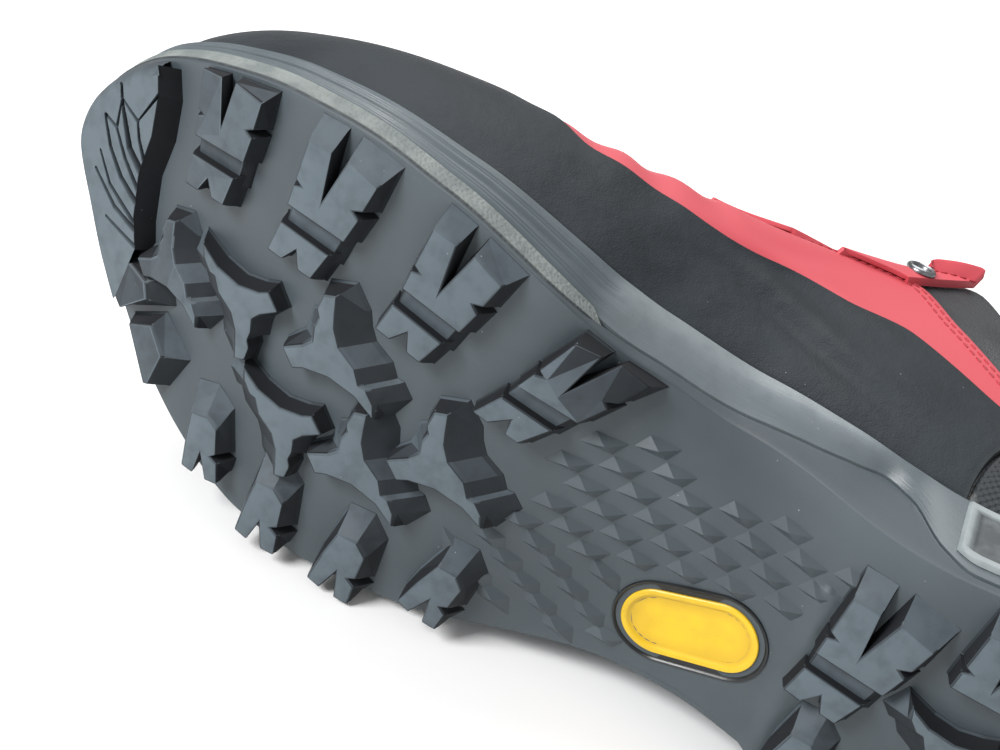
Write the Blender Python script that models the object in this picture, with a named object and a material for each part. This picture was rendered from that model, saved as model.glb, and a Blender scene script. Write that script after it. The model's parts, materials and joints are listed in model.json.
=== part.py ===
"""A right approach shoe, size 42, lying on its lateral side with the sole to the front.

The shoe is worked out standing: heel at x = 0, toe towards +X, medial side towards +Y,
tread on z = 0. An empty then lays it down. Lengths are metres.
"""

import math

import bmesh
import bpy
import numpy as np
from mathutils import Matrix, Vector

# Whole shoe
SOLE_LENGTH = 0.292
SOLE_WIDTH = 0.105
CLEARANCE = 0.0003

# Curve of the tread from heel to toe
SPRING_RISE = 0.0258
SPRING_START = 0.685
SPRING_POWER = 1.6
WAIST_RISE = 0.0069
WAIST_FROM = 0.247
WAIST_TO = 0.603
ARCH_RISE = 0.0072
ARCH_REACH = 0.032
HEEL_BEVEL_RISE = 0.004
HEEL_BEVEL_LENGTH = 0.024

# Outsole
LUG_HEIGHT = 0.005
LUG_DRAFT = 0.0005
LUG_ROOT = 0.001
LUG_INSET = 0.0008
WEB_THICKNESS = 0.002
RIM_WALL = 0.0022
TREAD_MODULE = 0.010
SIPE_DEPTH = 0.0028

# Midsole
SOLE_STACK = 0.027
FLARE = 0.004
STRIPE_HEIGHT = 0.0034
STRIPE_DEPTH = 0.0016
RIB_PROUD = 0.0008

# Upper
COLLAR_HEIGHT = 0.062
UPPER_WALL = 0.002
FEATHER_INSET = 0.003
BULGE = 0.006
BAND_GAP = 0.0004
RAND_THICKNESS = 0.0015
HEEL_BAND_THICKNESS = 0.0012
TAB_THICKNESS = 0.0018
TAB_TAIL = 0.0042
TAB_LEAN = 1.6

# Inside and lacing
INSOLE_THICKNESS = 0.003
TONGUE_THICKNESS = 0.0045
TONGUE_CROWN = 0.005
TONGUE_PAST_EYELETS = 0.030
TONGUE_LIFT = 0.006
TONGUE_EASE = 0.05
LACE_DIAMETER = 0.0045
LACE_LIFT = 0.0006
LACE_EDGE_GAP = 0.0072
EYELET_DIAMETER = 0.008
EYELET_THICKNESS = 0.0012

# Waist inlay and heel panels
BADGE_LENGTH = 0.032
BADGE_WIDTH = 0.017
BADGE_TURN = math.radians(-25.4)
BADGE_STATION = 0.389
BADGE_ACROSS = -0.337
BADGE_POCKET = 0.0012
BADGE_RIM = 0.0016
PANEL_THICKNESS = 0.0012

# Grid of the lofts
SIDE_STEPS = 32
BARS = 4
LEVEL_BARS = 1
RAND_ROWS = 4
VAMP_ROWS = 3
STAY_ROWS = 2
CROWN_COLUMNS = 6
PANEL_COLUMNS = (7, 8, 9, 10, 11)
SEAM_COLUMN = 11
TAB_LEVELS = (17, 20, 23, 26, 29)
LACE_STEPS = 5
STADIUM_POINTS = 24
TINY = 1e-8

# Weight of the pieces in kg per cubic metre
DENSITY = {"outsole": 1150, "midsole": 250, "upper": 600, "rand": 1150, "heel_band": 700}
OTHER_DENSITY = 400

HALF_WIDTH = SOLE_WIDTH / 2
RING = 2 * SIDE_STEPS


class Table:
    """Rows under named columns, read between the rows along a smooth curve."""

    def __init__(self, columns, rows):
        self.columns = dict(zip(columns, np.array(rows, float).T))
        self.key = self.columns[columns[0]]

    def read(self, column, at):
        x = self.key
        y = self.columns[column]
        at = np.clip(np.asarray(at, float), x[0], x[-1])
        step = np.diff(x)
        rise = np.diff(y) / step
        slope = np.empty(len(x))
        slope[0] = rise[0]
        slope[-1] = rise[-1]
        both = rise[:-1] * rise[1:]
        mean = 2 * rise[:-1] * rise[1:] / np.where(both > 0, rise[:-1] + rise[1:], 1)
        slope[1:-1] = np.where(both > 0, mean, 0)
        i = np.clip(np.searchsorted(x, at, side="right") - 1, 0, len(x) - 2)
        h = step[i]
        s = (at - x[i]) / h
        return (
            (1 + 2 * s) * (1 - s) ** 2 * y[i]
            + s * (1 - s) ** 2 * h * slope[i]
            + s * s * (3 - 2 * s) * y[i + 1]
            + s * s * (s - 1) * h * slope[i + 1]
        )


def turn_of(station):
    """Where a station lies on the half turn from heel, 0, to toe, 1."""
    return np.arccos(1 - 2 * np.asarray(station, float)) / math.pi


# Rim of the outsole, in shares of the length and of half the width, with the flare of the wall above it
OUTLINE_ROWS = (
    (0.000, 0.038, -0.038, 0.4, 0.4),
    (0.041, 0.419, 0.438, 0.4, 0.4),
    (0.096, 0.590, 0.629, 0.4, 0.4),
    (0.171, 0.638, 0.695, 0.5, 0.4),
    (0.257, 0.581, 0.686, 0.7, 0.5),
    (0.342, 0.543, 0.667, 1.2, 0.6),
    (0.428, 0.543, 0.714, 1.3, 0.6),
    (0.514, 0.638, 0.819, 1.1, 0.5),
    (0.599, 0.819, 0.943, 0.9, 0.4),
    (0.685, 0.952, 1.000, 0.9, 0.4),
    (0.747, 0.990, 0.981, 0.9, 0.4),
    (0.815, 0.952, 0.857, 0.8, 0.4),
    (0.884, 0.838, 0.629, 0.6, 0.3),
    (0.938, 0.686, 0.352, 0.3, 0.1),
    (0.976, 0.486, 0.095, 0.0, 0.0),
    (1.000, 0.152, -0.152, -0.2, -0.2),
)
OUTLINE = Table(
    ("turn", "medial", "lateral", "medial_flare", "lateral_flare"),
    [(turn_of(row[0]), *row[1:]) for row in OUTLINE_ROWS],
)

# Heights above the web, in shares of the sole's stack: the outsole's rim and the foot bed
LAYERS = Table(
    ("station", "medial_rim", "lateral_rim", "bed"),
    (
        (0.000, 0.111, 0.111, 0.890),
        (0.171, 0.111, 0.111, 0.960),
        (0.247, 0.126, 0.126, 1.000),
        (0.274, 0.296, 0.180, 0.990),
        (0.301, 0.667, 0.290, 0.970),
        (0.322, 0.733, 0.330, 0.950),
        (0.342, 0.622, 0.330, 0.940),
        (0.377, 0.415, 0.310, 0.900),
        (0.428, 0.233, 0.270, 0.875),
        (0.473, 0.170, 0.240, 0.860),
        (0.514, 0.163, 0.200, 0.837),
        (0.565, 0.126, 0.130, 0.760),
        (0.599, 0.104, 0.104, 0.700),
        (0.685, 0.096, 0.096, 0.556),
        (0.747, 0.096, 0.096, 0.463),
        (0.815, 0.096, 0.096, 0.426),
        (0.884, 0.096, 0.096, 0.389),
        (1.000, 0.096, 0.096, 0.400),
    ),
)

# Height of the stripe above the outsole's rim and how far the ribs stand out, in shares
STRIPE = Table(
    ("station", "height", "ribs"),
    (
        (0.000, 0.18, 0.0),
        (0.530, 0.18, 0.0),
        (0.560, 0.45, 0.3),
        (0.600, 0.90, 0.9),
        (0.685, 1.00, 1.0),
        (0.815, 1.00, 1.0),
        (0.930, 0.75, 0.8),
        (1.000, 0.60, 0.6),
    ),
)
STRIPE_FROM = 0.545

# Top edge of the upper, turn by turn: collar, top eyelet, throat and the throat's front end
TOPLINE = Table(
    ("turn", "station", "medial", "lateral", "height"),
    (
        (0.00, 0.017, 0.00, 0.00, 0.98),
        (0.10, 0.030, 0.28, 0.28, 0.98),
        (0.20, 0.075, 0.50, 0.50, 0.92),
        (0.30, 0.145, 0.62, 0.60, 0.86),
        (0.38, 0.205, 0.68, 0.60, 0.98),
        (0.45, 0.262, 0.70, 0.50, 1.32),
        (0.50, 0.300, 0.69, 0.38, 1.56),
        (0.56, 0.352, 0.67, 0.30, 1.42),
        (0.64, 0.430, 0.63, 0.23, 1.14),
        (0.72, 0.510, 0.58, 0.17, 0.95),
        (0.82, 0.590, 0.49, 0.12, 0.75),
        (0.92, 0.642, 0.37, 0.02, 0.62),
        (1.00, 0.662, 0.16, -0.16, 0.57),
    ),
)

# Form of the wall between sole and top edge: bulges, rise of its foot, reach and drop of its head
WALL_FORM = Table(
    ("turn", "medial_bulge", "lateral_bulge", "rise", "reach", "drop"),
    (
        (0.00, 0.9, 0.9, 0.36, 0.70, 0.40),
        (0.15, 0.9, 0.7, 0.36, 0.60, 0.40),
        (0.30, 1.4, 0.6, 0.38, 0.50, 0.38),
        (0.45, 2.0, 0.7, 0.40, 0.50, 0.34),
        (0.60, 1.4, 0.7, 0.43, 0.42, 0.30),
        (0.72, 1.7, 0.7, 0.51, 0.42, 0.18),
        (0.85, 1.0, 0.5, 0.80, 0.50, -0.02),
        (1.00, 0.3, 0.3, 1.05, 0.48, -0.10),
    ),
)

# Shares of the wall, from the sole up, where the rand ends and the eyestay begins
BANDS = Table(
    ("turn", "medial_rand", "lateral_rand", "stay"),
    (
        (0.00, 0.50, 0.50, 0.86),
        (0.20, 0.58, 0.50, 0.84),
        (0.38, 0.64, 0.46, 0.84),
        (0.44, 0.590, 0.44, 0.83),
        (0.47, 0.470, 0.43, 0.825),
        (0.50, 0.415, 0.42, 0.82),
        (0.56, 0.350, 0.41, 0.81),
        (0.61, 0.335, 0.40, 0.80),
        (0.66, 0.390, 0.405, 0.795),
        (0.75, 0.38, 0.42, 0.78),
        (0.88, 0.50, 0.48, 0.78),
        (1.00, 0.56, 0.56, 0.80),
    ),
)

# Lug outlines in tread modules: along, across, and how far the foot of the wall runs out
EDGE_BLOCK = (
    (0.75, 1.05, 0.00, 0.45),
    (0.15, 1.10, 0.00, 0.45),
    (0.00, 0.00, 0.00, 0.10),
    (-0.26, 1.15, 0.00, 0.45),
    (-1.05, 1.00, -0.20, 0.45),
    (-0.93, 0.36, -0.20, 0.00),
    (-0.72, 0.25, -0.12, 0.00),
    (-0.91, 0.14, -0.20, 0.00),
    (-0.76, -0.50, -0.20, 0.00),
    (0.75, -0.53, 0.05, 0.00),
    (0.75, -0.05, 0.05, 0.00),
    (0.57, 0.03, 0.03, 0.00),
    (0.75, 0.11, 0.05, 0.00),
)
EDGE_STEP = (
    (0.70, -0.30, 0.05, 0.00),
    (-0.70, -0.30, -0.20, 0.00),
    (-0.55, -1.20, -0.20, 0.00),
    (0.70, -1.20, 0.05, 0.00),
)
EDGE_INNER = (
    (0.76, -0.97, 0.05, 0.00),
    (-0.55, -0.97, -0.20, 0.00),
    (-0.33, -1.72, -0.20, -0.05),
    (0.02, -1.72, 0.00, -0.05),
    (0.20, -1.32, 0.00, 0.00),
    (0.47, -1.74, 0.00, -0.05),
    (0.86, -1.74, 0.05, -0.05),
)
PROPELLER = (
    (0.85, 1.30, 0.05, 0.10),
    (0.88, 0.92, 0.05, 0.00),
    (0.77, 0.75, 0.08, 0.00),
    (0.80, 0.50, 0.25, 0.10),
    (0.72, 0.15, 0.30, 0.10),
    (0.90, -0.10, 0.15, 0.10),
    (1.34, -0.45, 0.05, 0.00),
    (0.95, -0.77, 0.05, -0.05),
    (0.70, -0.60, 0.00, -0.05),
    (0.10, -0.42, 0.00, -0.05),
    (-0.60, -0.48, 0.00, -0.05),
    (-1.17, -0.76, -0.20, -0.05),
    (-1.05, -0.45, -0.60, 0.30),
    (-0.78, -0.20, -0.60, 0.30),
    (-0.60, -0.20, -0.60, 0.30),
    (-0.38, 0.12, -0.58, 0.30),
    (0.12, 0.37, -0.58, 0.30),
    (0.37, 0.72, -0.60, 0.25),
    (0.47, 1.05, -0.55, 0.25),
    (0.57, 1.43, -0.20, 0.25),
)
SIDE_BLOCK = (
    (-0.55, 0.70, -0.10, -0.25),
    (-0.18, 0.73, -0.02, -0.25),
    (0.02, 0.05, 0.00, -0.05),
    (0.22, 0.72, 0.02, -0.25),
    (0.58, 0.66, 0.05, -0.25),
    (0.50, -0.20, 0.10, 0.00),
    (0.38, -0.95, 0.08, -0.55),
    (-0.10, -1.00, 0.00, -0.60),
    (-0.42, -0.75, -0.15, -0.45),
    (-0.45, -0.10, -0.25, 0.00),
    (-0.28, 0.02, -0.15, 0.00),
    (-0.50, 0.14, -0.25, 0.00),
)
TOE_BLOCK = (
    (0.92, 0.20, 0.05, 0.05),
    (0.10, 0.52, 0.02, 0.12),
    (-0.45, 0.40, -0.45, 0.30),
    (-0.62, 0.05, -0.60, 0.10),
    (0.05, -0.72, 0.00, -0.05),
    (0.70, -0.28, 0.05, 0.00),
)
TOE_END_BLOCK = (
    (0.62, 0.12, 0.10, -0.02),
    (-0.02, 0.55, -0.10, 0.20),
    (-0.55, 0.05, -0.55, 0.10),
    (-0.40, -0.90, -0.35, 0.05),
    (-0.28, -0.98, -0.05, 0.05),
)
HEEL_TIP_BLOCK = (
    (-0.75, 0.95, -0.12, 0.12),
    (-1.02, 0.10, -0.15, 0.00),
    (-0.35, 0.02, 0.00, -0.05),
    (-1.02, -0.08, -0.15, 0.00),
    (-0.75, -0.95, -0.12, -0.12),
    (0.10, -1.05, 0.15, -0.12),
    (0.55, -0.35, 0.25, 0.00),
    (0.55, 0.35, 0.25, 0.00),
    (0.10, 1.05, 0.15, 0.12),
)

# Shares of the full height for a lug and for the step between the two parts of an edge lug
FULL = 1.0
STEP = 0.55
EDGE_LUG = ((EDGE_BLOCK, FULL), (EDGE_STEP, STEP), (EDGE_INNER, FULL))

# Where each lug stands: station, across in half widths, turn in degrees, lean, size and side
LUG_COLUMNS = ("outline", "station", "across", "turn", "lean", "size", "side")
LUG_ROWS = (
    (EDGE_LUG, 0.861, 0.670, -8, 0.05, 0.95, 1),
    (EDGE_LUG, 0.762, 0.676, 0, 0.00, 1.00, 1),
    (EDGE_LUG, 0.657, 0.619, 11, 0.10, 0.98, 1),
    (EDGE_LUG, 0.549, 0.476, 11, -0.25, 0.95, 1),
    (EDGE_LUG, 0.283, 0.105, 0, 0.00, 1.02, 1),
    (EDGE_BLOCK, 0.200, 0.300, 0, 0.00, 0.95, 1),
    (EDGE_BLOCK, 0.120, 0.300, 8, 0.00, 0.95, 1),
    (PROPELLER, 0.863, -0.095, 4, 0.0, 0.85, 1),
    (PROPELLER, 0.808, 0.030, 178, 0.0, 0.92, 1),
    (PROPELLER, 0.707, 0.076, 0, 0.0, 1.00, 1),
    (PROPELLER, 0.741, -0.355, 180, 0.0, 0.92, 1),
    (PROPELLER, 0.658, -0.345, 6, 0.0, 0.98, 1),
    (PROPELLER, 0.599, -0.140, 2, 0.0, 1.00, 1),
    (PROPELLER, 0.200, -0.090, 180, 0.0, 0.85, 1),
    (PROPELLER, 0.122, -0.060, 180, 0.0, 0.80, 1),
    (SIDE_BLOCK, 0.790, -0.760, -14, 0.0, 0.95, -1),
    (SIDE_BLOCK, 0.720, -0.870, -4, 0.0, 1.00, -1),
    (SIDE_BLOCK, 0.646, -0.880, 3, 0.0, 1.00, -1),
    (SIDE_BLOCK, 0.570, -0.755, 12, 0.0, 0.95, -1),
    (SIDE_BLOCK, 0.278, -0.570, 0, 0.0, 0.95, -1),
    (SIDE_BLOCK, 0.205, -0.570, 0, 0.0, 1.00, -1),
    (SIDE_BLOCK, 0.130, -0.520, -8, 0.0, 0.95, -1),
    (TOE_BLOCK, 0.905, -0.310, 0, 0.0, 1.00, 1),
    (TOE_END_BLOCK, 0.872, -0.500, 0, 0.0, 1.00, 1),
    (HEEL_TIP_BLOCK, 0.053, 0.050, 0, 0.0, 1.05, 1),
)

# Rear edge of the climbing plate under the toe, in shares of the length and of half the width
PLATE_REAR = (
    (0.934, 0.700, -0.020),
    (0.926, 0.580, -0.024),
    (0.922, 0.400, -0.024),
    (0.925, 0.210, -0.022),
    (0.918, 0.000, -0.020),
    (0.908, -0.130, -0.016),
)
PLATE_INSET = 0.0022

# Ribs along the midsole, from foot to head in shares of its wall, and the width of their flanks
RIBS = ((0.10, 0.38), (0.50, 0.76))
RIB_FLANK = 0.05

# Rows of a heel panel in shares of the midsole's wall, with whether its middle is set back there
PANEL_ROWS = ((0.12, False), (0.30, True), (0.72, True), (0.90, False))

# Free end of the tongue in shares: how far along it, width and crown
TONGUE_END = ((0.33, 0.71, 0.92), (0.67, 0.69, 0.83), (1.00, 0.68, 0.75))

# Fine cuts in the climbing plate: ends and bow in shares, with their width
SIPE_COLUMNS = ("from_station", "from_across", "to_station", "to_across", "bow", "width")
SIPE_ROWS = (
    (0.969, 0.540, 0.923, 0.215, -0.020, 0.0014),
    (0.975, 0.390, 0.924, 0.080, -0.016, 0.0012),
    (0.974, 0.170, 0.919, -0.010, -0.010, 0.0011),
    (0.962, -0.030, 0.912, -0.080, -0.006, 0.0011),
)

# Colour and roughness of each finish
COLOURS = {
    "rubber": ((0.065, 0.080, 0.088), 0.55),
    "foam": ((0.125, 0.150, 0.158), 0.45),
    "stripe": ((0.310, 0.330, 0.310), 0.70),
    "rand": ((0.030, 0.038, 0.043), 0.62),
    "textile": ((0.018, 0.022, 0.025), 0.80),
    "suede": ((0.560, 0.070, 0.090), 0.90),
    "knit": ((0.800, 0.010, 0.018), 0.85),
    "yellow": ((0.850, 0.560, 0.010), 0.40),
    "insole": ((0.120, 0.130, 0.140), 0.90),
    "metal": ((0.300, 0.320, 0.330), 0.35),
}

TURN = np.concatenate([np.linspace(0, 1, SIDE_STEPS + 1), np.linspace(1, 0, SIDE_STEPS + 1)[1:-1]])
STATION = (1 - np.cos(math.pi * TURN)) / 2
MEDIAL = np.arange(RING) <= SIDE_STEPS


def by_side(table, medial, lateral, key):
    """One value for each ring point, from the column of its own side."""
    return np.where(MEDIAL, table.read(medial, key), table.read(lateral, key))


def waist_wave(x):
    """Rises from 0 at both ends of the waist to 1 in its middle."""
    share = np.clip((x / SOLE_LENGTH - WAIST_FROM) / (WAIST_TO - WAIST_FROM), 0, 1)
    return np.sin(math.pi * share) ** 2


def tread_height(x, y):
    """Height of the lug tops over the ground."""
    x = np.asarray(x, float)
    y = np.asarray(y, float)
    start = SPRING_START * SOLE_LENGTH
    spring = SPRING_RISE * np.clip((x - start) / (SOLE_LENGTH - start), 0, None) ** SPRING_POWER
    bevel = HEEL_BEVEL_RISE * np.clip(1 - x / HEEL_BEVEL_LENGTH, 0, 1) ** 2
    arch = ARCH_RISE * np.clip(y / ARCH_REACH, 0, 1.5) ** 2
    return spring + bevel + waist_wave(x) * (WAIST_RISE + arch)


def web_height(x, y):
    """Height of the outsole's underside between the lugs."""
    return tread_height(x, y) + LUG_HEIGHT


def rim_plan():
    """The rim's points in plan, from the heel along the medial side and back, with outward normals."""
    half = by_side(OUTLINE, "medial", "lateral", TURN) * HALF_WIDTH
    plan = np.column_stack([SOLE_LENGTH * STATION, np.where(MEDIAL, half, -half)])
    run = np.roll(plan, -1, axis=0) - np.roll(plan, 1, axis=0)
    normal = np.column_stack([-run[:, 1], run[:, 0]])
    return plan, normal / np.linalg.norm(normal, axis=1)[:, None]


RIM, OUTWARD = rim_plan()
FLARE_OUT = FLARE * by_side(OUTLINE, "medial_flare", "lateral_flare", TURN)
RIM_BOTTOM = web_height(RIM[:, 0], RIM[:, 1])
RIM_TOP = RIM_BOTTOM + SOLE_STACK * by_side(LAYERS, "medial_rim", "lateral_rim", STATION)
STRIPE_TALL = STRIPE_HEIGHT * STRIPE.read("height", STATION)
WALL_FOOT = RIM_TOP + CLEARANCE + STRIPE_TALL


def bed_height(x, y):
    """Height of the midsole's top, level from side to side."""
    x = np.asarray(x, float)
    return web_height(x, 0 * x) + SOLE_STACK * LAYERS.read("bed", x / SOLE_LENGTH)


BED = bed_height(RIM[:, 0], RIM[:, 1])


def around(outset, height):
    """A ring of points at an outset from the rim and at a height."""
    return np.column_stack([RIM + OUTWARD * np.reshape(outset, (-1, 1)), np.broadcast_to(height, RING)])


def unit(vectors):
    return vectors / np.linalg.norm(vectors, axis=-1, keepdims=True)


def face_outwards(shape):
    """Turns the faces of one closed body outwards."""
    bmesh.ops.recalc_face_normals(shape, faces=shape.faces)
    if shape.calc_volume(signed=True) < 0:
        bmesh.ops.reverse_faces(shape, faces=shape.faces)


class Solid:
    """Points and triangles of one closed body."""

    def __init__(self):
        self.points = []
        self.faces = []

    def add(self, points):
        start = len(self.points)
        self.points.extend(tuple(map(float, point)) for point in points)
        return list(range(start, len(self.points)))

    def cell(self, a, b, c, d):
        for face in ((a, b, c), (a, c, d)):
            if len(set(face)) == 3:
                self.faces.append(face)

    def wall(self, lower, upper, closed=True):
        """Joins two rows of points, all round or end to end."""
        count = len(lower)
        for i in range(count if closed else count - 1):
            j = (i + 1) % count
            self.cell(lower[i], lower[j], upper[j], upper[i])

    def bars(self, loop, height, parts=BARS):
        """Closes a loop whose tips are its first and middle points with bars from side to side."""
        count = len(loop)
        half = count // 2
        rows = [[loop[0]] * (parts + 1)]
        for i in range(1, half):
            left = np.array(self.points[loop[count - i]])
            right = np.array(self.points[loop[i]])
            inner = [left + (right - left) * k / parts for k in range(1, parts)]
            inner = [(x, y, float(height(x, y))) for x, y, z in inner]
            rows.append([loop[count - i], *self.add(inner), loop[i]])
        rows.append([loop[half]] * (parts + 1))
        for row, following in zip(rows, rows[1:]):
            self.wall(row, following, closed=False)

    def lid(self, loop):
        self.faces.append(tuple(loop))

    def build(self, name, colour=None, smooth=35):
        """Makes the object, with its faces turned outwards."""
        mesh = bpy.data.meshes.new(name)
        mesh.from_pydata(self.points, [], self.faces)
        shape = bmesh.new()
        shape.from_mesh(mesh)
        wide = [face for face in shape.faces if len(face.verts) > 3]
        bmesh.ops.triangulate(shape, faces=wide)
        face_outwards(shape)
        shape.to_mesh(mesh)
        shape.free()
        mesh.shade_smooth()
        mesh.set_sharp_from_angle(angle=math.radians(smooth))
        thing = bpy.data.objects.new(name, mesh)
        if colour:
            mesh.materials.append(finish(name, colour))
            bpy.data.collections["approach_shoe"].objects.link(thing)
        else:
            thing.hide_render = True
            thing.display_type = "WIRE"
            bpy.data.collections["cutters"].objects.link(thing)
        return thing


def finish(name, colour):
    """A Principled material with the colour, roughness and metallic value of the piece."""
    tone, rough = COLOURS[colour]
    material = bpy.data.materials.new(name)
    material.use_nodes = True
    shader = material.node_tree.nodes["Principled BSDF"]
    shader.inputs["Base Color"].default_value = (*tone, 1)
    shader.inputs["Roughness"].default_value = rough
    shader.inputs["Metallic"].default_value = 1.0 if colour == "metal" else 0.0
    return material


def cut(thing, cutter, operation):
    """Adds or takes away another solid."""
    step = thing.modifiers.new(cutter.name, "BOOLEAN")
    step.operation = operation
    step.solver = "EXACT"
    step.use_self = True
    step.object = cutter


def lug_parts(place):
    """The outlines of a lug's parts, each with its share of the full height."""
    return EDGE_LUG if place["outline"] is EDGE_LUG else ((place["outline"], FULL),)


def lug_plan(place, outline):
    """Plan of a lug's top and of its foot."""
    rows = np.array(outline) * TREAD_MODULE * place["size"]
    rows[:, 0] += place["lean"] * rows[:, 1]
    rows[:, [1, 3]] *= place["side"]
    angle = math.radians(place["turn"])
    spin = np.array([[math.cos(angle), math.sin(angle)], [-math.sin(angle), math.cos(angle)]])
    centre = np.array([SOLE_LENGTH * place["station"], HALF_WIDTH * place["across"]])
    top = rows[:, :2] @ spin + centre
    foot = drafted(top) + rows[:, 2:] @ spin
    turn = turn_of(np.clip(foot[:, 0] / SOLE_LENGTH, 0, 1))
    medial = OUTLINE.read("medial", turn) * HALF_WIDTH - LUG_INSET
    lateral = OUTLINE.read("lateral", turn) * HALF_WIDTH - LUG_INSET
    foot[:, 1] = np.clip(foot[:, 1], -lateral, medial)
    return top, foot


def drafted(plan):
    """The outline grown by the draft of the walls."""
    before = plan - np.roll(plan, 1, axis=0)
    after = np.roll(plan, -1, axis=0) - plan
    area = np.sum(plan[:, 0] * np.roll(plan[:, 1], -1) - plan[:, 1] * np.roll(plan[:, 0], -1))
    run = unit(before) + unit(after)
    normal = unit(np.column_stack([run[:, 1], -run[:, 0]])) * math.copysign(1, area)
    return plan + normal * LUG_DRAFT


def add_lug(solid, top, foot, height):
    """One lug from its flat top to its root inside the web."""
    low = tread_height(top[:, 0], top[:, 1]) + (1 - height) * LUG_HEIGHT
    high = web_height(foot[:, 0], foot[:, 1]) + LUG_ROOT
    outer = solid.add(np.column_stack([top, low]))
    inner = solid.add(np.column_stack([foot, high]))
    solid.wall(outer, inner)
    solid.lid(outer)
    solid.lid(inner)


def climbing_plate():
    """Plan of the smooth plate under the toe and of its foot."""
    scale = np.array([SOLE_LENGTH, HALF_WIDTH])
    rear = np.array([row[:2] for row in PLATE_REAR]) * scale
    rear_foot = rear + np.array([(row[2] * SOLE_LENGTH, 0) for row in PLATE_REAR])
    keep = [
        i
        for i in range(RING)
        if STATION[i] > (PLATE_REAR[0][0] if MEDIAL[i] else PLATE_REAR[-1][0] + PLATE_INSET / HALF_WIDTH)
    ]
    front = (RIM - OUTWARD * PLATE_INSET)[keep[::-1]]
    front_foot = (RIM - OUTWARD * PLATE_INSET / 3)[keep[::-1]]
    return np.vstack([rear, front]), np.vstack([rear_foot, front_foot])


def sipe_cutter():
    """All fine cuts of the climbing plate, as narrow bowed wedges."""
    solid = Solid()
    scale = np.array([SOLE_LENGTH, HALF_WIDTH])
    shares = np.linspace(0, 1, 6)[:, None]
    for row in SIPE_ROWS:
        sipe = dict(zip(SIPE_COLUMNS, row))
        start = np.array([sipe["from_station"], sipe["from_across"]]) * scale
        end = np.array([sipe["to_station"], sipe["to_across"]]) * scale
        side = unit(np.array([start[1] - end[1], end[0] - start[0]]))
        line = start + (end - start) * shares
        line = line + side * sipe["bow"] * SOLE_LENGTH * np.sin(math.pi * shares)
        half = side * sipe["width"] / 2 * (0.35 + 0.65 * shares)
        mouth = np.vstack([line + half, (line - half)[::-1]])
        depth = np.vstack([line + half / 3, (line - half / 3)[::-1]])
        level = tread_height(mouth[:, 0], mouth[:, 1])
        outer = solid.add(np.column_stack([mouth, level - LUG_ROOT]))
        inner = solid.add(np.column_stack([depth, level + SIPE_DEPTH]))
        solid.wall(outer, inner)
        solid.lid(outer)
        solid.lid(inner)
    return solid.build("sipe_cutter")


def stadium(outset):
    """Plan of the waist inlay grown by an outset, tip to tip."""
    radius = BADGE_WIDTH / 2
    reach = BADGE_LENGTH / 2 - radius
    points = []
    for k in range(STADIUM_POINTS):
        angle = 2 * math.pi * k / STADIUM_POINTS
        shift = reach if math.cos(angle) > 0.001 else -reach if math.cos(angle) < -0.001 else 0
        points.append((shift + (radius + outset) * math.cos(angle), (radius + outset) * math.sin(angle)))
    along = (math.cos(BADGE_TURN), math.sin(BADGE_TURN))
    turn = np.array([along, (-along[1], along[0])])
    return np.array(points) @ turn + np.array([SOLE_LENGTH * BADGE_STATION, HALF_WIDTH * BADGE_ACROSS])


def stadium_ring(solid, outset, depth):
    plan = stadium(outset)
    return solid.add(np.column_stack([plan, web_height(plan[:, 0], plan[:, 1]) + depth]))


def waist_inlay():
    """Plain oval plate with a raised border, let into the waist of the outsole."""
    pocket = Solid()
    outer = stadium_ring(pocket, CLEARANCE, -LUG_ROOT)
    inner = stadium_ring(pocket, CLEARANCE, BADGE_POCKET)
    pocket.wall(outer, inner)
    pocket.bars(outer, lambda x, y: web_height(x, y) - LUG_ROOT)
    pocket.bars(inner, lambda x, y: web_height(x, y) + BADGE_POCKET)
    proud = BADGE_POCKET / 2
    plate = Solid()
    back = stadium_ring(plate, 0, BADGE_POCKET - CLEARANCE)
    side = stadium_ring(plate, 0, -proud)
    lip = stadium_ring(plate, -BADGE_RIM, -proud)
    floor = stadium_ring(plate, -BADGE_RIM * 1.4, 0)
    for lower, upper in ((back, side), (side, lip), (lip, floor)):
        plate.wall(lower, upper)
    plate.bars(back, lambda x, y: web_height(x, y) + BADGE_POCKET - CLEARANCE)
    plate.bars(floor, web_height)
    plate.build("waist_inlay", "yellow")
    return pocket.build("inlay_pocket")


def outsole():
    """Rubber web with its wrapped rim, all lugs, the climbing plate and the waist pocket."""
    web = Solid()
    bottom = web.add(around(0, RIM_BOTTOM))
    top = web.add(around(0, RIM_TOP))
    lip = web.add(around(-RIM_WALL, RIM_TOP))
    floor_plan = around(-RIM_WALL, 0)
    floor_height = web_height(floor_plan[:, 0], floor_plan[:, 1]) + WEB_THICKNESS
    floor = web.add(around(-RIM_WALL, floor_height))
    web.bars(bottom, web_height)
    web.wall(bottom, top)
    web.wall(top, lip)
    web.wall(lip, floor)
    web.bars(floor, lambda x, y: web_height(x, y) + WEB_THICKNESS)
    body = web.build("outsole", "rubber")
    lugs = Solid()
    for row in LUG_ROWS:
        place = dict(zip(LUG_COLUMNS, row))
        for outline, height in lug_parts(place):
            add_lug(lugs, *lug_plan(place, outline), height)
    add_lug(lugs, *climbing_plate(), FULL)
    cut(body, lugs.build("tread_lugs"), "UNION")
    cut(body, sipe_cutter(), "DIFFERENCE")
    cut(body, waist_inlay(), "DIFFERENCE")
    return body


def wall_point(share, proud):
    """The midsole's side at a share of its height, standing proud."""
    return around(FLARE_OUT * share + proud, WALL_FOOT + (BED - WALL_FOOT) * share)


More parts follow.
